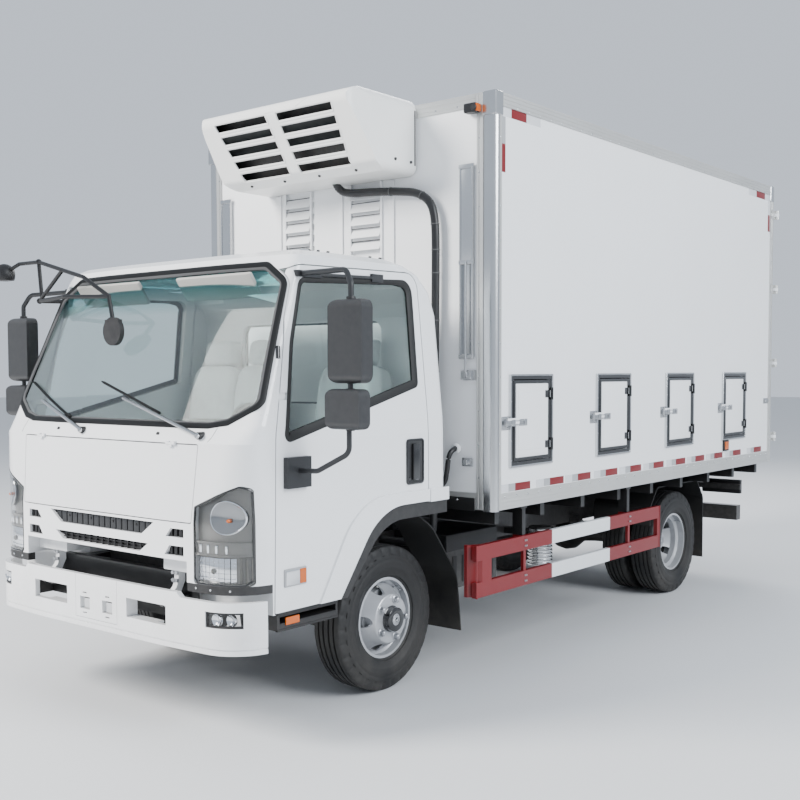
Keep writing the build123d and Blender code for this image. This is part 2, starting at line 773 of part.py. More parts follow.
# Side outlines of the cab, rows of Y from the front axle, Z and corner radius.
door_rows = (
    (-981, 592, 12), (-966, 1400, 400), (-788, 2196, 110), (172, 2212, 90), (176, 1000, 0),
    (-235, 1000, arch_radius), (-540, 592, 0),
)
window_rows = ((-895, 1379, 20), (-815, 1829, 400), (-722, 2122, 50), (105, 2156, 60), (95, 1622, 20))
pillar_rows = ((-1400, 1300, 0), (-940, 1300, 0), (-735, 2260, 0), (-1400, 2260, 0))
underside_rows = (
    (-1400, 400, 0), (-1400, 735, 0), (-988, 735, 0), (-988, 592, 0), (-540, 592, 0),
    (-235, 1000, arch_radius), (500, 1000, 0), (500, 400, 0),
)
cavity_rows = (
    (-1090, 790, 0), (-960, 790, 0), (-900, 592 + floor_wall, 0), (-560, 592 + floor_wall, 0),
    (-258, 1000 + floor_wall, arch_radius), (500, 1000 + floor_wall, 0), (500, 2400, 0), (-1400, 2400, 0),
    (-1400, 1440, 0), (-1090, 1360, 0),
)
flare_rows = (
    (-690, 592, 0), (-398, 1069, 400), (338, 1069, 0), (338, 1000, 0), (-235, 1000, arch_radius), (-540, 592, 0),
)
# Front outlines, rows of X, Z and corner radius.
screen_rows = (
    (700, 1452, 60), (800, 1468, 0), (944, 1545, 40), (872, 2110, 60), (735, 2196, 60),
    (-735, 2196, 60), (-872, 2110, 60), (-944, 1545, 40), (-800, 1468, 0), (-700, 1452, 60),
)
lamp_rows = ((684, 735, 18), (684, 1085, 10), (920, 1188, 30), (958, 1175, 20), (958, 735, 18))
lid_rows = ((672, 1004, 12), (692, 1366, 12), (-692, 1366, 12), (-672, 1004, 12))


# Cab lug of the tilt hinge, rows of Y and Z from the pin.
lug_rows = ((-18, 16), (34, 68), (44, 100), (44, 150), (86, 150), (86, 90), (60, 40), (18, -16))


def grown(rows, amount):
    """Outline face of rows, grown outwards by amount, or drawn in where it is negative."""
    return offset(outline(rows), amount, kind=Kind.INTERSECTION)


def side_cut(rows, amount, low, high):
    """Prism across X of a side outline grown by amount."""
    plane = Plane(origin=(low, 0, 0), x_dir=(0, 1, 0), z_dir=(1, 0, 0))
    return extrude(plane * grown(shifted(rows), amount), amount=high - low, dir=(1, 0, 0))


def front_cut(rows, amount, low, high):
    """Prism along Y of a front outline grown by amount, between offsets from the front axle."""
    plane = Plane(origin=(0, from_axle(low), 0), x_dir=(1, 0, 0), z_dir=(0, -1, 0))
    return extrude(plane * grown(rows, amount), amount=high - low, dir=(0, 1, 0))


def make_cab():
    """Cab body, doors, lid, glass, lamps, grille and interior."""
    outer = cab_skin(0)
    inner = cab_skin(cab_wall)
    jamb = cab_skin(cab_wall + door_clearance)
    tunnel = block((-tunnel_half_width, tunnel_half_width), (from_axle(-1130), from_axle(400)), (400, tunnel_top))
    tunnel_wall = block((-tunnel_half_width - floor_wall, tunnel_half_width + floor_wall),
                        (from_axle(-1200), from_axle(400)), (400, tunnel_top + floor_wall))
    notch = block((-640, 640), (from_axle(-1300), from_axle(-1128)), (400, 832))
    notch += block((-640, 640), (from_axle(-1300), from_axle(-985)), (400, 760))
    cavity = (inner & prism_x(shifted(cavity_rows), -1000, 1000)) - tunnel_wall
    under = prism_x(shifted(underside_rows), -1100, 1100)
    body = outer - under - tunnel - notch - cavity

    pillar = side_cut(pillar_rows, 0, 600, 1150)
    door_zone = side_cut(door_rows, 0, 600, 1150) - (front_cut(screen_rows, 22, -1400, -600) & pillar)
    rear_jamb = side_cut(door_rows, 8, 600, 1150) & block((600, 1150), (from_axle(100), from_axle(400)), (1100, 2300))
    body -= both_sides(door_zone) - jamb
    body -= both_sides(rear_jamb & cab_skin(door_flange)) - jamb
    body -= front_cut(screen_rows, 0, -1400, -600)
    rear_window = prism_y([(-560, 1500, 60), (560, 1500, 60), (560, 1975, 60), (-560, 1975, 60)],
                          from_axle(200), from_axle(500))
    body -= rear_window
    lamp_zone = both_sides(front_cut(lamp_rows, 0, -1400, -1000)) - cab_skin(lamp_depth)
    body -= lamp_zone
    lid_zone = front_cut(lid_rows, 0, -1400, -1000) - cab_skin(lid_thickness + 14)
    body -= lid_zone
    grille_zone = block((-640, 640), (from_axle(-1400), from_axle(-1000)), (830, 998)) - cab_skin(60)
    body -= grille_zone
    flare = outer_flare()
    body_flare = flare - both_sides(side_cut(door_rows, 0, 600, 1150))
    lugs = None
    for side in (-1, 1):
        lug = prism_x(
            [(from_axle(tilt_y) + y, tilt_z + z, 0) for y, z in lug_rows], side * tilt_x - 15, side * tilt_x + 15)
        lug += Pos(side * tilt_x, from_axle(tilt_y), tilt_z) * Rot(0, 90, 0) * Cylinder(tilt_eye_radius - 3, 30)
        lug -= Pos(side * tilt_x, from_axle(tilt_y), tilt_z) * Rot(0, 90, 0) * Cylinder(tilt_pin_radius + pivot_clearance, 40)
        lugs = lug if lugs is None else lugs + lug
    lid_y = from_axle(lid_axis_y)
    for x in (-520, 520):
        for low, high in ((x - 30, x - 13), (x + 13, x + 30)):
            lugs += block((low, high), (lid_y - 4, lid_y + 14), (lid_axis_z, lid_axis_z + 12))
            lugs += Pos((low + high) / 2, lid_y, lid_axis_z) * Rot(0, 90, 0) * Cylinder(6, high - low)
        lugs += Pos(x, lid_y, lid_axis_z) * Rot(0, 90, 0) * Cylinder(3, 60)
    parts["cab_body"] = body + body_flare + lugs

    door = side_cut(door_rows, -door_clearance, 600, 1150)
    door -= front_cut(screen_rows, 22 + door_clearance, -1400, -600) & side_cut(pillar_rows, door_clearance, 600, 1150)
    door = (door & outer) - inner
    door -= block((600, 862), (from_axle(-1000), from_axle(300)), (2060, 2300))
    door -= side_cut(window_rows, 0, 600, 1150)
    door += flare & side_cut(door_rows, -door_clearance, 600, 1150)
    parts["door_left"] = door
    parts["door_right"] = other_side(door)

    pane_out = cab_skin(glass_inset)
    pane_in = cab_skin(glass_inset + glass_thickness)
    pane = (side_cut(window_rows, -glass_seat, 600, 1150) & pane_out) - pane_in
    parts["door_glass_left"] = pane
    parts["door_glass_right"] = other_side(pane)
    screen = (front_cut(screen_rows, -glass_seat, -1400, -600) & pane_out) - pane_in
    rear_pane = prism_y([(-559.6, 1500.4, 60), (559.6, 1500.4, 60), (559.6, 1974.6, 60), (-559.6, 1974.6, 60)],
                        from_axle(316), from_axle(322))
    parts["cab_glass"] = screen + rear_pane

    lamps = (front_cut(lamp_rows, -0.5, -1400, -1000) & outer) - cab_skin(lamp_depth - 1)
    parts["headlamps"] = both_sides(lamps)
    lid = (front_cut(lid_rows, -5, -1400, -1000) & outer) - cab_skin(lid_thickness)
    for x in (-520, 520):
        lid += block((x - 12, x + 12), (lid_y - 4, lid_y + 14), (lid_axis_z - 14, lid_axis_z))
        lid += Pos(x, lid_y, lid_axis_z) * Rot(0, 90, 0) * Cylinder(6, 24)
        lid -= Pos(x, lid_y, lid_axis_z) * Rot(0, 90, 0) * Cylinder(3 + pivot_clearance, 30)
    parts["front_lid"] = lid
    make_grille(outer)
    make_interior()


def outer_flare():
    """Raised wheel-arch band on both cab sides."""
    band = prism_x(shifted(flare_rows), 980, 999)
    return both_sides(band)


def make_grille(outer):
    """White grille panel with its slots, and the dark mesh behind it."""
    panel = (block((-640, 640), (from_axle(-1400), from_axle(-1000)), (830, 998)) & outer) - cab_skin(26)
    cuts = prism_y([(-415, 992, 0), (415, 992, 0), (325, 930, 20), (-325, 930, 20)], from_axle(-1300), from_axle(-1000))
    cuts += prism_y([(-372, 888, 0), (372, 888, 0), (310, 846, 10), (-310, 846, 10)], from_axle(-1300), from_axle(-1000))
    side = prism_y([(535, 975, 0), (620, 975, 0), (620, 935, 0), (500, 935, 0)], from_axle(-1300), from_axle(-1000))
    side += prism_y([(525, 895, 0), (620, 895, 0), (620, 850, 0), (490, 850, 0)], from_axle(-1300), from_axle(-1000))
    panel -= cuts + both_sides(side)
    parts["grille_panel"] = panel
    mesh = (block((-640, 640), (from_axle(-1400), from_axle(-1000)), (830, 998)) & cab_skin(26)) - cab_skin(34)
    parts["grille_mesh"] = mesh


def make_interior():
    """Dashboard with the steering wheel, and the seats."""
    dash = prism_x(
        shifted([(-1090, 1010, 0), (-1090, 1362, 0), (-820, 1400, 60), (-700, 1290, 40), (-740, 1040, 40)]),
        -850, 850)
    column = rod((480, from_axle(-800), 1200), (480, from_axle(-542), 1340), 24.0)
    direction = (0, 240, 130)
    wheel_plane = Plane(origin=(480, from_axle(-540), 1341), z_dir=direction)
    wheel = wheel_plane * Torus(205, 15)
    wheel += wheel_plane * Cylinder(46, 30)
    for angle in (90, 210, 330):
        wheel += wheel_plane * Rot(0, 0, angle) * Pos(105, 0, 0) * Box(190, 26, 10)
    parts["dashboard"] = dash + column + wheel
    seats = None
    for x, half in seat_rows:
        base = block((x - half, x + half), (from_axle(-400), from_axle(120)), (1000 + floor_wall, 1180))
        back = prism_x(
            shifted([(40, 1150, 0), (118, 1150, 0), (250, 1840, 40), (150, 1840, 40)]),
            x - half, x + half)
        seat = base + back
        seats = seat if seats is None else seats + seat
    parts["seats"] = seats


# Seats: middle X and half width.
seat_rows = ((480, 250), (-430, 400))


def bumper_plan(inset, low, high):
    """Solid inside the bumper's front face drawn in by inset."""
    w = bumper_half_width - inset
    f = from_axle(bumper_front) + inset
    back = from_axle(bumper_rear) + 150 + inset
    rows = [(w, back, 0), (w, f + 36, 220 - inset), (w / 2, f, crown_radius),
            (-w / 2, f, crown_radius), (-w, f + 36, 220 - inset), (-w, back, 0)]
    return prism_z(rows, low, high)


def make_bumper():
    """Front bumper with its openings, and the fog lamps set in it."""
    w = bumper_half_width
    f = from_axle(bumper_front)
    r = from_axle(bumper_rear)
    shell = bumper_plan(0, bumper_bottom, bumper_top) - bumper_plan(bumper_wall, bumper_bottom - 10, bumper_top + 10)
    shell -= block((-w - 20, w + 20), (r, r + 220), (bumper_bottom - 20, bumper_top + 20))
    corner_cut = prism_y([(590, bumper_top + 20, 0), (590, bumper_top + 10, 0), (625, bumper_corner_top, 0),
                          (1100, bumper_corner_top, 0), (1100, bumper_top + 20, 0)], f - 50, r + 50)
    shell -= both_sides(corner_cut)
    shell += both_sides(block((230, 440), (f, f + 66), (516, 628)) & bumper_plan(0, 516, 628))
    shell -= both_sides(block((240, 528), (f - 50, f + 90), (526, 618)))
    shell -= both_sides(block((50, 130), (f - 50, f + 90), (519, 580)))
    for z in (497, 597):
        shell -= both_sides(block((75, 108), (f - 50, f + 90), (z, z + 7)))
    seam = block((-168, 168), (f - 50, f + 50), (474, 720)) - block((-165, 165), (f - 60, f + 60), (477, 730))
    seam += block((-1100, 1100), (f - 50, f + 260), (452, 458))
    shell -= seam & bumper_plan(-10, 440, 700) - bumper_plan(4, 430, 710)
    lens_hole = block((780, 945), (f - 50, f + 160), (552, 624))
    shell -= both_sides(lens_hole)
    parts["front_bumper"] = shell
    lens = (bumper_plan(9, 552, 624) - bumper_plan(23, 540, 640)) & lens_hole
    parts["lamps"] = both_sides(lens)


def make_guards():
    """Side guards, rear mudguards, under-run bar and lamp carriers."""
    x1 = guard_x
    x0 = guard_x - guard_depth
    y0 = from_axle(guard_front)
    y1 = from_axle(guard_rear)
    guard = block((x0, x1), (y0, y1), (guard_top - guard_rail, guard_top))
    guard += block((x0, x1), (y0, y1), (guard_bottom, guard_bottom + guard_rail))
    guard += block((x0, x1), (y1 - 40, y1), (guard_bottom, guard_top))
    guard += prism_z([(x1, y0 + 150, 0), (x1, y0 + 60, 0), (x1 - 60, y0, 0), (x1 - 80, y0, 0),
                      (x1 - 80, y0 + 20, 0), (x1 - 66, y0 + 20, 0), (x0, y0 + 70, 0), (x0, y0 + 150, 0)],
                     guard_bottom, guard_top)
    for post in guard_posts:
        y = from_axle(post)
        guard += block((x0 + 4, x1 - 6), (y - 13, y + 13), (guard_bottom + 10, guard_top - 10))
        guard += block((x0 - 50, x0 + 14), (y - 16, y + 16), (guard_top - 20, box_bottom))
    parts["side_guards"] = both_sides(guard)

    outer_edge = rear_outer_x + tyre_width / 2 + 14
    inner_edge = rear_inner_x - tyre_width / 2 - 10
    ring = None
    top = box_bottom - bearer_depth
    guard = prism_x(
        [(rear_axle_y - 470, 560, 0), (rear_axle_y - 470, 690, 60), (rear_axle_y - 350, top, 60), (rear_axle_y + 350, top, 60),
         (rear_axle_y + 470, 690, 60), (rear_axle_y + 470, 210, 0), (rear_axle_y + 462, 210, 0),
         (rear_axle_y + 462, 687, 54), (rear_axle_y + 346, top - 8, 54), (rear_axle_y - 346, top - 8, 54),
         (rear_axle_y - 462, 687, 54), (rear_axle_y - 462, 560, 0)],
        inner_edge, outer_edge)
    splash = prism_x(
        shifted([(150, 950, 0), (330, 842, 300), (560, 540, 200), (600, 216, 0), (592, 216, 0),
                 (552, 538, 200), (324, 834, 300), (150, 942, 0)]), 640, 895)
    splash += block((frame_half_width, 660), (from_axle(496), from_axle(540)), (588, 628))
    parts["mudguards"] = both_sides(guard + splash)
    bar = block((-980, 980), (tail_y - 330, tail_y - 250), (440, 560))
    for x in (-340, 340):
        bar += block((x - 30, x + 30), (tail_y - 330, tail_y - 260), (540, rail_top - rail_height))
    lamp = block((640, 980), (tail_y - 250, tail_y - 205), (650, 770))
    for low, high in ((-990, -frame_half_width), (frame_half_width, 990)):
        bar += block((low, high), (tail_y - 290, tail_y - 250), (690, 735))
    parts["rear_bars"] = bar
    parts["lamps"] += both_sides(lamp)


def make_mirrors():
    """Door mirrors on their arms, with the door handle and the side repeater."""
    x = mirror_x
    y = from_axle(mirror_y)
    w = mirror_half_width
    head = prism_y([(x - w, 1640, 40), (x + w, 1640, 40), (x + w, 2012, 40), (x - w, 2012, 40)], y - 46, y + 30)
    head &= prism_x([(y - 46, 1640, 34), (y - 46, 2012, 34), (y + 30, 2012, 10), (y + 30, 1640, 10)], x - w, x + w)
    low = prism_y([(x - w, 1436, 34), (x + w, 1436, 34), (x + w, 1616, 34), (x - w, 1616, 34)], y - 66, y + 10)
    low &= prism_x([(y - 66, 1436, 30), (y - 66, 1616, 30), (y + 10, 1616, 10), (y + 10, 1436, 10)], x - w, x + w)
    arm = tube([(914, from_axle(-716), 2152), (1240, from_axle(-770), 2146), (x, y, 2080), (x, y, 1960)],
               [50, 30], 13.0)
    arm += rod((x, y - 6, 1660), (x, y - 6, 1590), 12.0)
    arm += tube([(x, y - 16, 1450), (x, y - 16, 1330), (1120, from_axle(-836), 1244), (1000, from_axle(-840), 1240)],
                [50, 50], 12.0)
    base = block((976, 1016), (from_axle(-916), from_axle(-764)), (1162, 1304))
    top = block((890, 922), (from_axle(-750), from_axle(-584)), (2136, 2166))
    top += block((890, 922), (from_axle(-212), from_axle(-124)), (2142, 2182))
    top += rod((914, from_axle(-600), 2152), (914, from_axle(-200), 2162), 9.0)
    handle = block((976, 990), (from_axle(-14), from_axle(120)), (1110, 1336))
    repeater = block((976, 991), (from_axle(-914), from_axle(-782)), (716, 786))
    fittings = head + low + arm + base + top + handle + repeater
    parts["door_fittings_left"] = fittings - parts["door_left"] - parts["door_glass_left"] - parts["cab_body"]
    parts["door_fittings_right"] = other_side(parts["door_fittings_left"])


# Tubes of the look-down mirror frame at the cab's right front top: X, Y from the front axle, Z.
frame_tubes = (
    ((-880, -772, 2092), (-945, -885, 2092), (-950, -900, 2312)),
    ((-950, -900, 2312), (-390, -1000, 2190), (-170, -1004, 2080), (-140, -1004, 1960)),
    ((-950, -898, 2094), (-560, -1000, 2095), (-172, -1004, 2078)),
    ((-950, -898, 2094), (-640, -957, 2244)),
    ((-950, -900, 2312), (-1190, -872, 2318), (-1290, -888, 2280)),
)
# Wiper pivot and blade points: X, Y from the front axle, Z.
wiper_arms = (
    ((-184, -1136, 1402), (-184, -1172, 1404), (-596, -1120, 1545)),
    ((686, -1100, 1404), (686, -1158, 1404), (92, -1118, 1566)),
)


def straight_tubes(points, radius):
    """Round bars through the points with a ball at each inner joint."""
    spots = [(x, from_axle(y), z) for x, y, z in points]
    shape = None
    for a, b in zip(spots[:-1], spots[1:]):
        run = rod(a, b, radius)
        shape = run if shape is None else shape + run
    for spot in spots[1:-1]:
        shape += Pos(*spot) * Sphere(radius)
    return shape


def make_fittings():
    """Wipers, roof lamp, look-down mirror frame, sill steps, arch lining and lamp strips."""
    fittings = None
    for points in frame_tubes:
        run = straight_tubes(points, 11.0)
        fittings = run if fittings is None else fittings + run
    for x, y, z in ((-950, -900, 2312), (-950, -898, 2094)):
        fittings += Pos(x, from_axle(y), z) * Sphere(17.0)
    oval = Pos(-135, from_axle(-1004), 1900) * Rot(90, 0, 0) * Cylinder(72, 26)
    oval += block((-190, -80), (from_axle(-1017), from_axle(-991)), (1860, 1960))
    far = Pos(-1318, from_axle(-890), 2262) * Sphere(64)
    far &= block((-1385, -1250), (from_axle(-940), from_axle(-850)), (2228, 2330))
    fittings += oval + far
    for points in wiper_arms:
        pivot, bend, tip = [(x, from_axle(y), z) for x, y, z in points]
        fittings += rod(pivot, (bend[0], bend[1] - 6, bend[2]), 17.0)
        fittings += rod(bend, tip, 7.5)
        fittings += Pos(*bend) * Sphere(12)
    for x in (-400, 400):
        fittings += rod((x, from_axle(-1130), 1398), (x, from_axle(-1162), 1402), 11.0)
    fittings += rod((800, from_axle(-585), 2230), (800, from_axle(-585), 2262), 24.0)
    fittings += Pos(800, from_axle(-585), 2262) * Sphere(24.0)
    solid_cab = parts["cab_body"]
    fittings = fittings - cab_skin(3)
    parts["cab_fittings"] = fittings - solid_cab - parts["cab_glass"]

    outer = cab_skin(0)
    strip = (block((642, 1000), (from_axle(-1300), from_axle(-990)), (696, 735)) & outer) - cab_skin(40)
    step = block((800, 976), (from_axle(-956), from_axle(-546)), (512, 592))
    step -= block((830, 1000), (from_axle(-940), from_axle(-560)), (545, 575))
    lining = prism_x(shifted(lining_rows), 905, 984)
    parts["cab_trims"] = both_sides(strip + step + lining)


# Black lining under the wheel-arch edge: rows of Y, Z and corner radius.
lining_rows = (
    (-540, 592, 0), (-235, 1000, arch_radius), (338, 1000, 0), (338, 930, 0), (-196, 930, 330), (-480, 592, 0),
)


def make_all():
    """Every sub-part, written as one STEP file each."""
    make_wheels()
    make_running_gear()
    make_bumper()
    make_frame()
    make_box()
    make_unit()
    make_cab()
    make_guards()
    make_mirrors()
    make_fittings()


make_all()
os.makedirs("parts", exist_ok=True)
for name, shape in parts.items():
    export_step(shape, f"parts/{name}.step")
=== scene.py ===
"""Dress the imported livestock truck: a finish for every solid, and the small things the solids leave out."""

from __future__ import annotations

import json
import logging
import math
from dataclasses import dataclass, field
from enum import Enum
from typing import Sequence

import bmesh
import bpy
from mathutils import Matrix, Vector, noise
from mathutils.bvhtree import BVHTree

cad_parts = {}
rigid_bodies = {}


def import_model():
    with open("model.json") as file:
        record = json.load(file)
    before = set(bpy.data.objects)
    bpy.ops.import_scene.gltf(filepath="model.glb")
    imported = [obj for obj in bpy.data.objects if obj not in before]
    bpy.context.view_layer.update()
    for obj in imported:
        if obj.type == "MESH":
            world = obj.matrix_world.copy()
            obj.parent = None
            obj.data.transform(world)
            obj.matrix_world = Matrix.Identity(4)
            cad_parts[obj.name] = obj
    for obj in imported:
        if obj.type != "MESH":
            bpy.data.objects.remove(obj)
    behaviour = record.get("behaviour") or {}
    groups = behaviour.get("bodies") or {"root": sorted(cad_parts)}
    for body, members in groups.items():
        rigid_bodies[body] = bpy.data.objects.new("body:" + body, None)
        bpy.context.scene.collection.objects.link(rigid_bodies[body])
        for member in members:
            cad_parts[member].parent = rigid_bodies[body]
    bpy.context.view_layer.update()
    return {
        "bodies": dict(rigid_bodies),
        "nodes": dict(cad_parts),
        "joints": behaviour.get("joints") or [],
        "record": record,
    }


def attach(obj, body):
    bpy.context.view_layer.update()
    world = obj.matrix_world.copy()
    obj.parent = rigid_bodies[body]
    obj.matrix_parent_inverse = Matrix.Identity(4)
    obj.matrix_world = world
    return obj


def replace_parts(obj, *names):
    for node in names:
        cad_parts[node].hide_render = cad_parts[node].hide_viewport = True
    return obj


LOG = logging.getLogger("livestock_truck")
Colour = tuple[float, float, float]
Point = tuple[float, float, float]
Row = tuple[float, float, float]
Pair = tuple[float, float]

FRONT_AXLE_Y = -1.7625
REAR_AXLE_Y = 1.5975
HUB_Z = 0.386
BOX_HALF = 1.1525
BOX_FRONT_Y = -1.2105
BOX_REAR_Y = 2.9405
AHEAD_Y = -4.0
ASIDE_X = 1.4
CAB = "cab"
CHASSIS = "chassis"
SIDES = ((1, "left"), (-1, "right"))


class Grain(Enum):
    """Fine relief that a finish carries."""

    NONE = "none"
    ORANGE_PEEL = "orange peel"
    MOULDED = "moulded"
    BRUSHED = "brushed"
    CAST = "cast"
    RUBBER = "rubber"
    PANEL = "panel"
    WRINKLED = "wrinkled"


@dataclass(frozen=True)
class Finish:
    """One opaque finish of the truck, made into a material on first use.

    The relief has a depth in metres and a scale in repeats per metre. The film is road film near the ground,
    with none above film_top. Wear is on edges, variation darkens in broad clouds, and the bands are rows of
    lowest and highest Y that have the band colour.
    """

    name: str
    colour: Colour
    roughness: float = 0.4
    metallic: float = 0.0
    coat: float = 0.0
    grain: Grain = Grain.NONE
    depth: float = 0.0002
    scale: float = 400.0
    film: float = 0.0
    film_top: float = 1.2
    wear: float = 0.0
    variation: float = 0.04
    bands: tuple[Pair, ...] = ()
    band_colour: Colour = (0.8, 0.8, 0.8)


@dataclass(frozen=True)
class Glass:
    """One clear finish, whose tint changes to the top colour between the fade heights."""

    name: str
    colour: Colour
    roughness: float
    ior: float
    top_colour: Colour | None = None
    fade: Pair = (1.98, 2.12)


GLASSES = {
    "glass": Glass("window_glass", (0.8, 0.88, 0.86), 0.02, 1.45),
    "screen_glass": Glass("windscreen_glass", (0.84, 0.91, 0.9), 0.02, 1.45, (0.16, 0.48, 0.5)),
    "lens": Glass("clear_lens", (0.96, 0.97, 0.98), 0.01, 1.3),
}

FINISHES = {
    f.name: f
    for f in (
        Finish("cab_paint", (0.86, 0.87, 0.88), 0.22, coat=0.8, grain=Grain.ORANGE_PEEL, depth=0.00006,
               scale=260, film=0.35, film_top=0.95, variation=0.015),
        Finish("panel_paint", (0.86, 0.87, 0.88), 0.34, coat=0.25, grain=Grain.PANEL, depth=0.0011, scale=1.6,
               film=0.18, film_top=1.25, variation=0.02),
        Finish("unit_shell", (0.84, 0.84, 0.82), 0.36, coat=0.15, grain=Grain.MOULDED, depth=0.00008,
               scale=520, variation=0.03),
        Finish("rail_metal", (0.7, 0.7, 0.68), 0.36, metallic=0.75, grain=Grain.BRUSHED, depth=0.00008,
               scale=120, film=0.3, film_top=1.1, variation=0.08),
        Finish("stainless", (0.62, 0.63, 0.64), 0.24, metallic=1.0, grain=Grain.BRUSHED, depth=0.00006,
               scale=300, variation=0.1),
        Finish("zinc", (0.52, 0.53, 0.55), 0.38, metallic=0.95, grain=Grain.CAST, depth=0.0001, scale=300,
               variation=0.15),
        Finish("chrome", (0.78, 0.79, 0.8), 0.08, metallic=1.0, variation=0.02),
        Finish("chassis_black", (0.006, 0.006, 0.0065), 0.42, coat=0.2, grain=Grain.CAST, depth=0.00025,
               scale=180, film=0.35, film_top=0.65, wear=0.25, variation=0.3),
        Finish("black_plastic", (0.008, 0.008, 0.009), 0.48, grain=Grain.MOULDED, depth=0.00012, scale=900,
               film=0.15, film_top=0.7, wear=0.15, variation=0.15),
        Finish("grey_plastic", (0.018, 0.019, 0.021), 0.42, grain=Grain.MOULDED, depth=0.00012, scale=900,
               wear=0.1, variation=0.1),
        Finish("black_rubber", (0.006, 0.006, 0.006), 0.6, grain=Grain.RUBBER, depth=0.0002, scale=300,
               film=0.25, film_top=0.7, variation=0.25),
        Finish("tyre_rubber", (0.006, 0.006, 0.0065), 0.62, grain=Grain.RUBBER, depth=0.0003, scale=220,
               film=0.12, film_top=0.78, variation=0.3),
        Finish("wheel_silver", (0.5, 0.51, 0.53), 0.34, metallic=0.55, coat=0.3, grain=Grain.CAST,
               depth=0.00008, scale=220, film=0.35, film_top=0.6, variation=0.1),
        Finish("guard_paint", (0.17, 0.0006, 0.0035), 0.36, coat=0.12, grain=Grain.ORANGE_PEEL, depth=0.0001,
               scale=200, film=0.1, film_top=0.8, variation=0.05,
               bands=((-0.545, 0.181),), band_colour=(0.74, 0.76, 0.77)),
        Finish("tape_red", (0.17, 0.0006, 0.003), 0.36, coat=0.1, grain=Grain.MOULDED, depth=0.0001,
               scale=260),
        Finish("tape_white", (0.66, 0.67, 0.69), 0.2, coat=0.6, grain=Grain.MOULDED, depth=0.0001, scale=260),
        Finish("lamp_red", (0.42, 0.006, 0.008), 0.12, coat=0.8, grain=Grain.PANEL, depth=0.0002, scale=160),
        Finish("lamp_amber", (0.55, 0.1, 0.001), 0.14, coat=0.4, grain=Grain.PANEL, depth=0.0002, scale=160),
        Finish("reflector", (0.82, 0.83, 0.85), 0.1, metallic=1.0, variation=0.03),
        Finish("smoked_bezel", (0.2, 0.195, 0.18), 0.24, metallic=0.3, coat=0.3, variation=0.08),
        Finish("dash_plastic", (0.035, 0.036, 0.038), 0.6, grain=Grain.MOULDED, depth=0.0002, scale=500,
               variation=0.1),
        Finish("trim_cream", (0.45, 0.44, 0.41), 0.6, grain=Grain.MOULDED, depth=0.0002, scale=500,
               variation=0.08),
        Finish("seat_sheet", (0.66, 0.69, 0.7), 0.22, coat=0.4, grain=Grain.WRINKLED, depth=0.006, scale=9,
               variation=0.06),
        Finish("seal_grey", (0.085, 0.086, 0.088), 0.5, grain=Grain.RUBBER, depth=0.0001, scale=300,
               variation=0.1),
        Finish("fin_metal", (0.16, 0.17, 0.17), 0.45, metallic=0.6, grain=Grain.BRUSHED, depth=0.0001,
               scale=200),
        Finish("smoked_mirror", (0.34, 0.345, 0.35), 0.14, metallic=0.9, variation=0.05),
        Finish("mirror", (0.85, 0.87, 0.88), 0.02, metallic=1.0, variation=0.01),
        Finish("gloss_black", (0.01, 0.01, 0.011), 0.14, coat=0.6, variation=0.1),
        Finish("tape_grey", (0.36, 0.37, 0.38), 0.25, coat=0.5, grain=Grain.MOULDED, depth=0.0001, scale=260),
        Finish("hose_black", (0.012, 0.012, 0.013), 0.4, grain=Grain.RUBBER, depth=0.0002, scale=200,
               variation=0.2),
    )
}


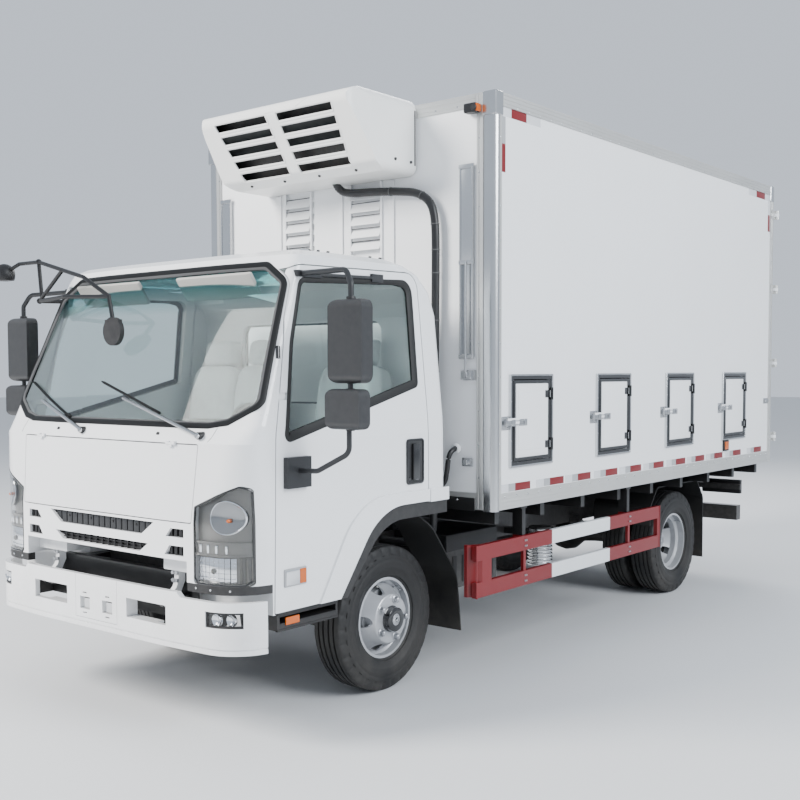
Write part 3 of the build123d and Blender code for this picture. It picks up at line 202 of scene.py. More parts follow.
class Net:
    """Node tree that takes each node together with its settings and links."""

    def __init__(self, tree: bpy.types.NodeTree) -> None:
        """Work on a tree."""
        self.tree = tree

    @classmethod
    def group(cls, name: str, kind: str, inputs: Sequence[tuple[str, str, object]],
              outputs: Sequence[Sequence[str]]) -> "Net":
        """Start a node group with named inputs and outputs.

        Args:
            name: Name of the group.
            kind: Type of its tree.
            inputs: Rows of socket name, kind of socket and default value.
            outputs: Rows of socket name and kind of socket.

        Returns:
            The group's net, with what comes in as given and the output node as result.
        """
        net = cls(bpy.data.node_groups.new(name, kind))
        face = net.tree.interface
        for label, socket, value in inputs:
            made = face.new_socket(label, in_out="INPUT", socket_type="NodeSocket" + socket)
            if value is not None:
                made.default_value = value
        for label, socket in outputs:
            face.new_socket(label, in_out="OUTPUT", socket_type="NodeSocket" + socket)
        net.given = net.tree.nodes.new("NodeGroupInput").outputs
        net.result = net.tree.nodes.new("NodeGroupOutput")
        return net

    def node(self, kind: str, inputs: dict[str | int, object], **settings: object) -> bpy.types.Node:
        """Add a node.

        Args:
            kind: Type of the node.
            inputs: A value, or a socket to link, for each of its inputs that is not left alone.
            settings: The node's own settings.

        Returns:
            The node.
        """
        node = self.tree.nodes.new(kind)
        for name, value in settings.items():
            setattr(node, name, value)
        self.feed(node, inputs)
        return node

    def add(self, kind: str, inputs: dict[str | int, object], out: str | int = 0,
            **settings: object) -> bpy.types.NodeSocket:
        """Add a node as above and give its output socket out."""
        return self.node(kind, inputs, **settings).outputs[out]

    def feed(self, node: bpy.types.Node, inputs: dict[str | int, object]) -> None:
        """Set or link some inputs of a node.

        Args:
            node: The node.
            inputs: A value, or a socket to link, for each input.
        """
        for key, value in inputs.items():
            if isinstance(value, bpy.types.NodeSocket):
                self.tree.links.new(value, node.inputs[key])
            else:
                node.inputs[key].default_value = value

    def place(self) -> bpy.types.NodeSocket:
        """Object coordinates."""
        return self.add("ShaderNodeTexCoord", {}, "Object")

    def axis(self, letter: str) -> bpy.types.NodeSocket:
        """One object coordinate."""
        return self.add("ShaderNodeSeparateXYZ", {0: self.place()}, letter)

    def maths(self, operation: str, *values: object, clamp: bool = False) -> bpy.types.NodeSocket:
        """Result of one operation on values or sockets."""
        return self.add("ShaderNodeMath", dict(enumerate(values)), operation=operation, use_clamp=clamp)

    def mix(self, factor: object, a: object, b: object, blend: str = "MIX") -> bpy.types.NodeSocket:
        """Colour between a and b."""
        return self.add("ShaderNodeMix", {"Factor": factor, "A": a, "B": b}, "Result", data_type="RGBA",
                        blend_type=blend)

    def clouds(self, scale: float, detail: object, roughness: float = 0.5,
               at: bpy.types.NodeSocket | None = None) -> bpy.types.NodeSocket:
        """Value of a noise texture at object coordinates, or at others."""
        return self.add("ShaderNodeTexNoise", {"Vector": self.place() if at is None else at, "Scale": scale,
                                               "Detail": detail, "Roughness": roughness}, "Fac")

    def spread(self, value: bpy.types.NodeSocket, low: object, high: object, start: object = 0.0,
               end: object = 1.0) -> bpy.types.NodeSocket:
        """Value moved from the range low to high into the range start to end."""
        return self.add("ShaderNodeMapRange", {"Value": value, "From Min": low, "From Max": high,
                                               "To Min": start, "To Max": end})


class SharedEffects:
    """Shader node groups that several finishes use."""

    def __init__(self) -> None:
        """Build each group once."""
        self.film = self._film()
        self.grain = self._grain()
        self.wear = self._wear()

    def _film(self) -> bpy.types.NodeTree:
        """Road film that thins out with height and follows a cloudy pattern.

        Returns:
            The group's tree.
        """
        net = Net.group("road_film", "ShaderNodeTree", (
            ("Colour", "Color", None), ("Film Colour", "Color", (0.3, 0.27, 0.23, 1)), ("Amount", "Float",
                                                                                        0.3),
            ("Top", "Float", 1.0), ("Roughness", "Float", 0.4), ("Variation", "Float", 0.05)),
            (("Colour", "Color"), ("Roughness", "Float")))
        given = net.given
        fall = net.spread(net.axis("Z"), 0.0, given["Top"], 1.0, 0.0)
        patches = net.spread(net.clouds(5.5, 7.0, 0.62), 0.32, 0.72)
        film = net.maths("MULTIPLY", net.maths("MULTIPLY", fall, patches), given["Amount"], clamp=True)
        darkest = net.maths("SUBTRACT", 1.0, given["Variation"])
        shade = net.spread(net.clouds(1.7, 4.0), 0.3, 0.7, 1.0, darkest)
        tint = net.mix(1.0, given["Colour"], shade, "MULTIPLY")
        dusty_roughness = 0.85
        net.feed(net.result, {
            "Colour": net.mix(film, tint, given["Film Colour"]),
            "Roughness": net.spread(film, 0.0, 1.0, given["Roughness"], dusty_roughness)})
        return net.tree

    def _grain(self) -> bpy.types.NodeTree:
        """Relief noise whose repeats along X, Y and Z can differ.

        Returns:
            The group's tree.
        """
        net = Net.group("surface_grain", "ShaderNodeTree", (
            ("Repeats", "Vector", (200, 200, 200)), ("Detail", "Float", 3.0), ("Depth", "Float", 0.0002)),
            (("Height", "Float"), ("Value", "Float")))
        given = net.given
        spot = net.add("ShaderNodeVectorMath", {0: net.place(), 1: given["Repeats"]}, operation="MULTIPLY")
        value = net.clouds(1.0, given["Detail"], at=spot)
        net.feed(net.result, {"Height": net.maths("MULTIPLY", value, given["Depth"]), "Value": value})
        return net.tree

    def _wear(self) -> bpy.types.NodeTree:
        """Lighter colour where corners have been rubbed.

        Returns:
            The group's tree.
        """
        net = Net.group("edge_wear", "ShaderNodeTree", (
            ("Colour", "Color", None), ("Worn Colour", "Color", (0.22, 0.21, 0.2, 1)), ("Amount", "Float",
                                                                                        0.3)),
            (("Colour", "Color"), ("Mask", "Float")))
        given = net.given
        edge = net.spread(net.add("ShaderNodeNewGeometry", {}, "Pointiness"), 0.53, 0.62)
        rubbed = net.maths("MULTIPLY", edge, net.clouds(38.0, 6.0))
        mask = net.maths("MULTIPLY", rubbed, given["Amount"], clamp=True)
        net.feed(net.result, {"Colour": net.mix(mask, given["Colour"], given["Worn Colour"]), "Mask": mask})
        return net.tree


class Paintbox:
    """Makes and keeps the truck's materials."""

    STRETCH = {Grain.BRUSHED: (1.0, 0.06, 1.0)}
    EVEN = (1.0, 1.0, 1.0)
    COAT_ROUGHNESS = 0.06

    def __init__(self) -> None:
        """Start with the shared effects and no materials."""
        self.effects = SharedEffects()
        self.made: dict[str, bpy.types.Material] = {}

    def get(self, name: str) -> bpy.types.Material:
        """Material of the named finish.

        Args:
            name: A key of FINISHES or of GLASSES.

        Returns:
            The material, made on first use.
        """
        if name not in self.made:
            clear = name in GLASSES
            self.made[name] = self._clear(GLASSES[name]) if clear else self._painted(FINISHES[name])
        return self.made[name]

    def _base(self, name: str) -> tuple[bpy.types.Material, Net, bpy.types.Node]:
        """Empty material, its net and its Principled shader."""
        material = bpy.data.materials.new(name)
        material.use_nodes = True
        return material, Net(material.node_tree), material.node_tree.nodes["Principled BSDF"]

    def _painted(self, finish: Finish) -> bpy.types.Material:
        """Opaque material with film, wear, bands and relief.

        Args:
            finish: What it looks like.

        Returns:
            The material.
        """
        material, net, shader = self._base(finish.name)
        film = net.node("ShaderNodeGroup", {
            "Colour": self._banded(net, finish), "Amount": finish.film, "Top": finish.film_top,
            "Roughness": finish.roughness, "Variation": finish.variation}, node_tree=self.effects.film)
        colour = film.outputs["Colour"]
        if finish.wear > 0:
            colour = net.add("ShaderNodeGroup", {"Amount": finish.wear, "Colour": colour}, "Colour",
                             node_tree=self.effects.wear)
        net.feed(shader, {"Base Color": colour, "Roughness": film.outputs["Roughness"],
                          "Metallic": finish.metallic, "Coat Weight": finish.coat,
                          "Coat Roughness": self.COAT_ROUGHNESS})
        if finish.grain is not Grain.NONE:
            repeats = tuple(finish.scale * s for s in self.STRETCH.get(finish.grain, self.EVEN))
            detail = 2.0 if finish.grain is Grain.PANEL else 5.0
            height = net.add("ShaderNodeGroup", {"Repeats": repeats, "Detail": detail, "Depth": finish.depth},
                             "Height", node_tree=self.effects.grain)
            bump = net.add("ShaderNodeBump", {"Distance": 1.0, "Strength": 1.0, "Height": height}, "Normal")
            net.feed(shader, {"Normal": bump})
        return material

    def _banded(self, net: Net, finish: Finish) -> object:
        """Colour that changes to the band colour between places along Y.

        Args:
            net: The material's net.
            finish: What it looks like.

        Returns:
            The plain colour, or the socket that changes it.
        """
        colour: object = (*finish.colour, 1)
        for low, high in finish.bands:
            inside = net.maths("COMPARE", net.axis("Y"), (low + high) / 2, (high - low) / 2)
            colour = net.mix(inside, colour, (*finish.band_colour, 1))
        return colour

    def _clear(self, glass: Glass) -> bpy.types.Material:
        """Clear material.

        Args:
            glass: What it looks like.

        Returns:
            The material.
        """
        material, net, shader = self._base(glass.name)
        colour: object = (*glass.colour, 1)
        if glass.top_colour:
            colour = net.mix(net.spread(net.axis("Z"), *glass.fade), colour, (*glass.top_colour, 1))
        net.feed(shader, {"Base Color": colour, "Roughness": glass.roughness, "IOR": glass.ior,
                          "Transmission Weight": 1.0})
        return material


def join_rings(part: bmesh.types.BMesh, rings: Sequence[Sequence[bmesh.types.BMVert]],
               closed_path: bool = False, closed_ring: bool = True) -> None:
    """Fill the faces between neighbouring rings.

    Args:
        part: Mesh that holds the rings.
        rings: Rows of as many vertices each.
        closed_path: Whether the last ring is joined to the first.
        closed_ring: Whether each ring's last vertex is joined to its first.
    """
    count, size = len(rings), len(rings[0])
    for i in range(count if closed_path else count - 1):
        a, b = rings[i], rings[(i + 1) % count]
        for k in range(size if closed_ring else size - 1):
            m = (k + 1) % size
            part.faces.new((a[k], a[m], b[m], b[k]))


class Shape:
    """Mesh builder that gathers simple turned, swept and bevelled forms. Each form gives the shape back."""

    def __init__(self) -> None:
        """Start empty."""
        self.bm = bmesh.new()

    def box(self, low: Point, high: Point, bevel: float = 0.0, turn: Matrix | None = None) -> "Shape":
        """Add a box between two corners.

        Args:
            low: Lowest corner.
            high: Highest corner.
            bevel: Edge rounding in metres.
            turn: Turn about the box's own middle.

        Returns:
            This shape.
        """
        part = bmesh.new()
        bmesh.ops.create_cube(part, size=1.0)
        size = [max(abs(h - l), 1e-4) for l, h in zip(low, high)]
        bmesh.ops.scale(part, vec=size, verts=part.verts)
        if bevel > 0:
            bmesh.ops.bevel(part, geom=part.edges[:], offset=min(bevel, min(size) * 0.45), segments=3,
                            profile=0.6, affect="EDGES")
        if turn is not None:
            bmesh.ops.transform(part, matrix=turn, verts=part.verts)
        middle = Vector([(l + h) / 2 for l, h in zip(low, high)])
        bmesh.ops.translate(part, vec=middle, verts=part.verts)
        return self.take(part)

    def lathe(self, profile: Sequence[Pair], centre: Point, axis: str = "X", steps: int = 64) -> "Shape":
        """Turn a profile about an axis.

        Args:
            profile: Rows of distance along the axis and radius. A loop that stays off the axis is closed.
            centre: Place of distance zero on the axis.
            axis: X, Y or Z.
            steps: Pieces around the turn.

        Returns:
            This shape.
        """
        profile = list(profile)
        closed = profile[0][1] > 0 and profile[-1][1] > 0
        if not closed and profile[0][1] > 0:
            profile.insert(0, (profile[0][0], 0.0))
        if not closed and profile[-1][1] > 0:
            profile.append((profile[-1][0], 0.0))
        part = bmesh.new()
        rings = []
        for i in range(steps):
            a = 2 * math.pi * i / steps
            ring = []
            for t, r in profile:
                c, s = r * math.cos(a), r * math.sin(a)
                place = {"X": (t, c, s), "Y": (c, t, s), "Z": (c, s, t)}[axis]
                ring.append(part.verts.new(Vector(place) + Vector(centre)))
            rings.append(ring)
        join_rings(part, rings, True, closed)
        bmesh.ops.remove_doubles(part, verts=part.verts, dist=1e-6)
        return self.take(part)

    def sweep(self, path: Sequence[Vector], radius: float, sides: int = 10, flat: float = 1.0) -> "Shape":
        """Sweep a round section along a path.

        Args:
            path: Points of the path.
            radius: Radius of the section.
            sides: Sides of the section.
            flat: Factor on the section's height.

        Returns:
            This shape.
        """
        part = bmesh.new()
        rings = []
        for i, spot in enumerate(path):
            run = (path[min(i + 1, len(path) - 1)] - path[max(i - 1, 0)]).normalized()
            side = run.cross(Vector((0, 0, 1)))
            if side.length < 0.2:
                side = run.cross(Vector((0, 1, 0)))
            side.normalize()
            over = side.cross(run).normalized()
            ring = []
            for k in range(sides):
                a = 2 * math.pi * k / sides
                across = spot + side * radius * math.cos(a)
                ring.append(part.verts.new(across + over * radius * flat * math.sin(a)))
            rings.append(ring)
        join_rings(part, rings)
        part.faces.new(list(reversed(rings[0])))
        part.faces.new(rings[-1])
        return self.take(part)

    def plate(self, outline: Sequence[Point], push: Point) -> "Shape":
        """Push a closed outline along a vector.

        Args:
            outline: Points of the outline.
            push: Thickness and its direction.

        Returns:
            This shape.
        """
        part = bmesh.new()
        low = [part.verts.new(p) for p in outline]
        high = [part.verts.new(Vector(p) + Vector(push)) for p in outline]
        part.faces.new(low)
        part.faces.new(list(reversed(high)))
        join_rings(part, (low, high))
        return self.take(part)

    def strip(self, rails: Sequence[Sequence[Point]]) -> "Shape":
        """Lay a skin over closed rows of points.

        Args:
            rails: The rows. The last one repeats the first where the skin closes.

        Returns:
            This shape.
        """
        part = bmesh.new()
        join_rings(part, [[part.verts.new(p) for p in rail] for rail in rails])
        return self.take(part)

    def slab(self, front: Sequence[Sequence[Point]], back: Sequence[Sequence[Point]]) -> "Shape":
        """Close two grids of points into a curved slab.

        Args:
            front: Rows of points of one face.
            back: As many rows of the other face.

        Returns:
            This shape.
        """
        part = bmesh.new()
        f, b = ([[part.verts.new(p) for p in row] for row in grid] for grid in (front, back))
        across, up = len(f) - 1, len(f[0]) - 1
        for i in range(across):
            for j in range(up):
                part.faces.new((f[i][j], f[i + 1][j], f[i + 1][j + 1], f[i][j + 1]))
                part.faces.new((b[i][j], b[i][j + 1], b[i + 1][j + 1], b[i + 1][j]))
        rim = [(i, 0) for i in range(across)] + [(across, j) for j in range(up)]
        rim += [(i, up) for i in range(across, 0, -1)] + [(0, j) for j in range(up, 0, -1)]
        for (i, j), (m, n) in zip(rim, rim[1:] + rim[:1]):
            part.faces.new((f[i][j], b[i][j], b[m][n], f[m][n]))
        return self.take(part)

    def bead(self, path: Sequence[Vector], normals: Sequence[Vector], section: Sequence[Pair],
             closed: bool = True,
             toward: Vector | None = None, widths: Sequence[float] | None = None) -> "Shape":
        """Run a closed section along a path.

        Args:
            path: Points of the path.
            normals: Direction of the section's height at each point.
            section: Section rows of distance across the path and height.
            closed: Whether the path comes back to its start.
            toward: Point that positive distances across lie towards.
            widths: Factor on the positive distances across at each point.

        Returns:
            This shape.
        """
        part = bmesh.new()
        count = len(path)
        rings = []
        for i, spot in enumerate(path):
            before = path[i - 1] if i > 0 or closed else spot
            after = path[(i + 1) % count] if i < count - 1 or closed else spot
            run = (after - before).normalized()
            across = run.cross(normals[i]).normalized()
            up = across.cross(run)
            if toward is not None and across.dot(toward - spot) < 0:
                across = -across
            wide = widths[i] if widths else 1.0
            rings.append([part.verts.new(spot + across * (a * wide if a > 0 else a) + up * h) for a,
                          h in section])
        join_rings(part, rings, closed)
        if not closed:
            part.faces.new(rings[0])
            part.faces.new(list(reversed(rings[-1])))
        return self.take(part)

    def copy_turned(self, angle: float, axis: str, centre: Point, times: int) -> "Shape":
        """Repeat the shape around an axis.

        Args:
            angle: Angle from each copy to the next.
            axis: X, Y or Z.
            centre: Point on the axis.
            times: Number of copies, the first included.

        Returns:
            This shape.
        """
        source = self.bm.copy()
        for k in range(1, times):
            turned = source.copy()
            bmesh.ops.rotate(turned, cent=centre, matrix=Matrix.Rotation(angle * k, 3, axis),
                             verts=turned.verts)
            self.take(turned)
        source.free()
        return self

    def mirrored(self) -> "Shape":
        """Add this shape's own mirror image across the truck's middle."""
        copy = self.bm.copy()
        bmesh.ops.scale(copy, vec=(-1, 1, 1), verts=copy.verts)
        return self.take(copy)

    def take(self, part: bmesh.types.BMesh) -> "Shape":
        """Merge a part with its faces pointing outwards.

        Args:
            part: The part, freed afterwards.

        Returns:
            This shape.
        """
        bmesh.ops.recalc_face_normals(part, faces=part.faces)
        mesh = bpy.data.meshes.new("part")
        part.to_mesh(mesh)
        part.free()
        self.bm.from_mesh(mesh)
        bpy.data.meshes.remove(mesh)
        return self

    def make(self, name: str, finish: str, body: str, angle: float = 35.0, side: int = 1) -> bpy.types.Object:
        """Finish the mesh as a piece of the truck.

        Args:
            name: Piece name.
            finish: Name of its finish.
            body: CAD body that it rides on.
            angle: Edges sharper than this stay sharp.
            side: -1 moves the shape to the truck's right side.

        Returns:
            The piece.
        """
        if side < 0:
            bmesh.ops.scale(self.bm, vec=(-1, 1, 1), verts=self.bm.verts)
            bmesh.ops.reverse_faces(self.bm, faces=self.bm.faces)
        mesh = bpy.data.meshes.new(name)
        self.bm.to_mesh(mesh)
        self.bm.free()
        return finish_piece(mesh, name, finish, body, angle)


PAINT: Paintbox | None = None
NODES: dict[str, bpy.types.Object] = {}


def finish_piece(mesh: bpy.types.Mesh, name: str, finish: str, body: str, angle: float) -> bpy.types.Object:
    """Turn a mesh into a named piece with its finish, riding on a body.

    Args:
        mesh: The piece's mesh.
        name: Piece name.
        finish: Name of its finish.
        body: CAD body that it rides on.
        angle: Edges sharper than this stay sharp.

    Returns:
        The piece.
    """
    mesh.shade_smooth()
    mesh.set_sharp_from_angle(angle=math.radians(angle))
    mesh.materials.clear()
    mesh.materials.append(PAINT.get(finish))
    piece = bpy.data.objects.new(name, mesh)
    bpy.context.scene.collection.objects.link(piece)
    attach(piece, body)
    LOG.info("piece %s on %s, %d faces", name, body, len(mesh.polygons))
    return piece


class Stud(Enum):
    """Small fastener that a row of fasteners repeats."""

    RIVET = "rivet"
    HEX = "hex"
    ROUND = "round"


class FastenerRow:
    """Geometry Nodes tree that sets one fastener on each point, standing along its facing direction."""

    def __init__(self, kind: Stud) -> None:
        """Build the tree.

        Args:
            kind: The fastener.
        """
        net = Net.group(f"{kind.value}_row", "GeometryNodeTree", (
            ("Geometry", "Geometry", None), ("Radius", "Float", 0.005), ("Height", "Float", 0.003),
            ("Finish", "Material", None)), (("Geometry", "Geometry"),))
        given = net.given
        if kind is Stud.RIVET:
            stud = net.add("GeometryNodeMeshUVSphere", {"Segments": 10, "Rings": 6, "Radius": 1.0}, "Mesh")
        else:
            stud = net.add("GeometryNodeMeshCone", {
                "Vertices": 6 if kind is Stud.HEX else 16, "Radius Top": 0.86, "Radius Bottom": 1.0,
                "Depth": 1.0},
                "Mesh")
        size = net.add("ShaderNodeCombineXYZ", {"X": given["Radius"], "Y": given["Radius"],
                                                "Z": given["Height"]})
        stud = net.add("GeometryNodeTransform", {"Geometry": stud, "Scale": size})
        points = net.add("GeometryNodeMeshToPoints", {"Mesh": given["Geometry"]})
        facing = net.add("GeometryNodeInputNamedAttribute", {"Name": "facing"}, "Attribute",
                         data_type="FLOAT_VECTOR")
        turn = net.add("FunctionNodeAlignRotationToVector", {"Vector": facing}, axis="Z")
        row = net.add("GeometryNodeInstanceOnPoints", {"Points": points, "Instance": stud, "Rotation": turn})
        real = net.add("GeometryNodeRealizeInstances", {0: row})
        done = net.add("GeometryNodeSetMaterial", {"Geometry": real, "Material": given["Finish"]})
        net.feed(net.result, {0: done})
        self.tree = net.tree

    def set(self, name: str, spots: Sequence[tuple[Point, Point]], radius: float, height: float, finish: str,
            body: str) -> bpy.types.Object:
        """Set a fastener on each spot.

        Args:
            name: Piece name.
            spots: Rows of place and facing direction.
            radius: Radius of the fastener.
            height: Height of the fastener.
            finish: Name of the finish.
            body: CAD body that it rides on.

        Returns:
            The piece.
        """
        seed = bpy.data.meshes.new(name + "_seed")
        seed.from_pydata([p for p, _ in spots], [], [])
        facing = seed.attributes.new("facing", "FLOAT_VECTOR", "POINT")
        facing.data.foreach_set("vector", [v for _, d in spots for v in d])
        holder = bpy.data.objects.new(name + "_seed", seed)
        bpy.context.scene.collection.objects.link(holder)
        modifier = holder.modifiers.new("row", "NODES")
        modifier.node_group = self.tree
        values = {"Radius": radius, "Height": height, "Finish": PAINT.get(finish)}
        for item in self.tree.interface.items_tree:
            if item.in_out == "INPUT" and item.name in values:
                modifier[item.identifier] = values[item.name]
        graph = bpy.context.evaluated_depsgraph_get()
        mesh = bpy.data.meshes.new_from_object(holder.evaluated_get(graph), depsgraph=graph)
        holder.modifiers.remove(modifier)
        bpy.data.objects.remove(holder)
        return finish_piece(mesh, name, finish, body, 40.0)


def rounded(rows: Sequence[Row], steps: int = 8) -> list[Pair]:
    """Closed outline with its corners rounded.

    Args:
        rows: Corners as first axis, second axis and radius.
        steps: Pieces per rounded corner.

    Returns:
        Points around the outline.
    """
    out: list[Pair] = []
    count = len(rows)
    for i, (x, y, r) in enumerate(rows):
        here = Vector((x, y))
        a = (Vector(rows[i - 1][:2]) - here).normalized()
        b = (Vector(rows[(i + 1) % count][:2]) - here).normalized()
        if r <= 0:
            out.append((x, y))
            continue
        half = a.angle(b) / 2
        reach = r / math.tan(half)
        centre = here + (a + b).normalized() * (r / math.sin(half))
        start, end = here + a * reach - centre, here + b * reach - centre
        sweep = start.angle_signed(end)
        for k in range(steps + 1):
            turned = start.copy()
            turned.rotate(Matrix.Rotation(-sweep * k / steps, 2))
            out.append(tuple(centre + turned))
    return out


def oblong(x0: float, x1: float, y0: float, y1: float, radius: float, steps: int = 8) -> list[Pair]:
    """Closed rectangle with rounded corners.

    Args:
        x0: Where it begins along the first axis.
        x1: Where it ends along the first axis.
        y0: Where it begins along the second axis.
        y1: Where it ends along the second axis.
        radius: Radius of the corners.
        steps: Pieces per corner.

    Returns:
        Points around the outline.
    """
    return rounded([(x0, y0, radius), (x1, y0, radius), (x1, y1, radius), (x0, y1, radius)], steps)


def along(outline: Sequence[Pair], pitch: float) -> list[Pair]:
    """Points at an even pitch around a closed outline.

    Args:
        outline: Corners of the outline.
        pitch: Greatest distance wanted, about.

    Returns:
        The points, the corners among them.
    """
    out = []
    for a, b in zip(outline, [*outline[1:], outline[0]]):
        a, b = Vector(a), Vector(b)
        parts = max(1, round((b - a).length / pitch))
        out += [tuple(a.lerp(b, k / parts)) for k in range(parts)]
    return out


def outward(outline: Sequence[Pair], amount: float) -> list[Pair]:
    """Outline moved away from its middle along its own normals.

    Args:
        outline: Points of the outline.
        amount: Distance, below zero for inwards.

    Returns:
        The moved points.
    """
    count = len(outline)
    area = sum(outline[i][0] * outline[(i + 1) % count][1] - outline[(i + 1) % count][0] * outline[i][1]
               for i in range(count))
    sign = 1 if area > 0 else -1
    out = []
    for i in range(count):
        a, b, c = Vector(outline[i - 1]), Vector(outline[i]), Vector(outline[(i + 1) % count])
        d = (c - a).normalized() if (c - a).length > 1e-9 else (b - a).normalized()
        out.append((b.x + d.y * amount * sign, b.y - d.x * amount * sign))
    return out


class Skin:
    """Surface of some CAD nodes, asked where a line meets it."""

    def __init__(self, *nodes: str) -> None:
        """Gather the nodes' triangles."""
        verts: list[Vector] = []
        faces: list[list[int]] = []
        for name in nodes:
            mesh = NODES[name].data
            base = len(verts)
            verts += [v.co.copy() for v in mesh.vertices]
            faces += [[base + k for k in p.vertices] for p in mesh.polygons]
        self.tree = BVHTree.FromPolygons(verts, faces)

    def meet(self, x: float, z: float) -> Vector:
        """Place where the line from ahead meets the surface.

        Args:
            x: Place across.
            z: Height.

        Returns:
            The place, or the line's start where it meets nothing.
        """
        start = Vector((x, AHEAD_Y, z))
        spot = self.tree.ray_cast(start, Vector((0, 1, 0)))[0]
        return spot if spot is not None else start

    def trace(self, spots: Sequence[Point], direction: Point, closed: bool = True) -> tuple[list, list]:
        """Places and evened-out normals where lines from the spots meet the surface.

        Args:
            spots: Starts of the lines.
            direction: Direction of all of them.
            closed: Whether the last place lies next to the first.

        Returns:
            The places met and the normals there, towards the spots.
        """
        way = Vector(direction).normalized()
        places, normals = [], []
        for spot in spots:
            place, normal, _, _ = self.tree.ray_cast(Vector(spot), way)
            if place is None:
                continue
            places.append(place)
            normals.append(-normal if normal.dot(way) > 0 else normal)
        count = len(places)
        even = []
        for i in range(count):
            reach = range(i - 2, i + 3) if closed else range(max(i - 2, 0), min(i + 3, count))
            even.append(sum((normals[k % count] for k in reach), Vector()).normalized())
        return places, even

    def ahead(self, rows: Sequence[Pair], closed: bool = True) -> tuple[list, list]:
        """Trace lines from ahead at rows of x and z."""
        return self.trace([(x, AHEAD_Y, z) for x, z in rows], (0, 1, 0), closed)

    def aside(self, rows: Sequence[Pair], closed: bool = True) -> tuple[list, list]:
        """Trace lines from the left at rows of y and z."""
        return self.trace([(ASIDE_X, y, z) for y, z in rows], (-1, 0, 0), closed)

    def footing(self, spot: Point, direction: Point) -> tuple[Point, Point]:
        """Place and facing direction of a fastener where one line meets the surface."""
        places, normals = self.trace([spot], direction, closed=False)
        return tuple(places[0]), tuple(normals[0])


@dataclass
class Studio:
    """Floor, lights and the camera that looks as the photograph does."""

    place: Point = (4.464, -6.192, 1.698)
    yaw: float = 39.721
    pitch: float = -2.888
    roll: float = -0.193
    lens: float = 49.07
    sensor: float = 36.0
    shift: Pair = (0.0269, 0.0315)
    floor_half: float = 60.0
    floor_colour: Colour = (0.62, 0.63, 0.64)
    sky_colour: Colour = (0.8, 0.88, 1.0)
    sky_strength: float = 0.92
    lights: tuple[tuple[str, Point, Point, float, float, Colour], ...] = (
        ("key", (-5.5, -10.5, 8.0), (0, -1.5, 1.2), 5.0, 3300.0, (1.0, 0.97, 0.93)),
        ("side", (11.0, -1.0, 7.0), (0, 0.5, 1.5), 7.0, 1700.0, (0.92, 0.96, 1.0)),
        ("back", (-4.0, 9.0, 7.5), (0, 1.0, 1.5), 6.0, 700.0, (1.0, 1.0, 1.0)))

    def build(self) -> None:
        """Make the camera, the floor and the soft lights."""
        yaw, pitch, roll = (math.radians(v) for v in (self.yaw, self.pitch, self.roll))
        look = Vector((-math.sin(yaw) * math.cos(pitch), math.cos(yaw) * math.cos(pitch), math.sin(pitch)))
        right = look.cross(Vector((0, 0, 1))).normalized()
        up = right.cross(look)
        right, up = (math.cos(roll) * right + math.sin(roll) * up,
                     -math.sin(roll) * right + math.cos(roll) * up)
        turn = Matrix((right, up, -look)).transposed().to_4x4()
        data = bpy.data.cameras.new("camera")
        data.lens = self.lens
        data.sensor_width = self.sensor
        data.shift_x, data.shift_y = self.shift
        camera = bpy.data.objects.new("camera", data)
        camera.matrix_world = Matrix.Translation(self.place) @ turn
        bpy.context.scene.collection.objects.link(camera)
        bpy.context.scene.camera = camera
        self._floor()
        self._lights()

    def _floor(self) -> None:
        """Pale floor."""
        mesh = bpy.data.meshes.new("studio_floor")
        s = self.floor_half
        mesh.from_pydata([(-s, -s, 0), (s, -s, 0), (s, s, 0), (-s, s, 0)], [], [(0, 1, 2, 3)])
        material = bpy.data.materials.new("studio_floor")
        material.use_nodes = True
        shader = material.node_tree.nodes["Principled BSDF"]
        shader.inputs["Base Color"].default_value = (*self.floor_colour, 1)
        shader.inputs["Roughness"].default_value = 0.75
        mesh.materials.append(material)
        floor = bpy.data.objects.new("studio_floor", mesh)
        bpy.context.scene.collection.objects.link(floor)

    def _lights(self) -> None:
        """Large soft lights and an even sky."""
        world = bpy.data.worlds.new("studio_sky")
        world.use_nodes = True
        sky = world.node_tree.nodes["Background"]
        sky.inputs["Color"].default_value = (*self.sky_colour, 1)
        sky.inputs["Strength"].default_value = self.sky_strength
        bpy.context.scene.world = world
        for name, place, target, size, power, colour in self.lights:
            data = bpy.data.lights.new(name, "AREA")
            data.shape = "DISK"
            data.size = size
            data.energy = power
            data.color = colour
            lamp = bpy.data.objects.new(name, data)
            lamp.location = place
            lamp.visible_glossy = name != "key"
            aim = Vector(target) - Vector(place)
            lamp.rotation_euler = aim.to_track_quat("-Z", "Y").to_euler()
            bpy.context.scene.collection.objects.link(lamp)


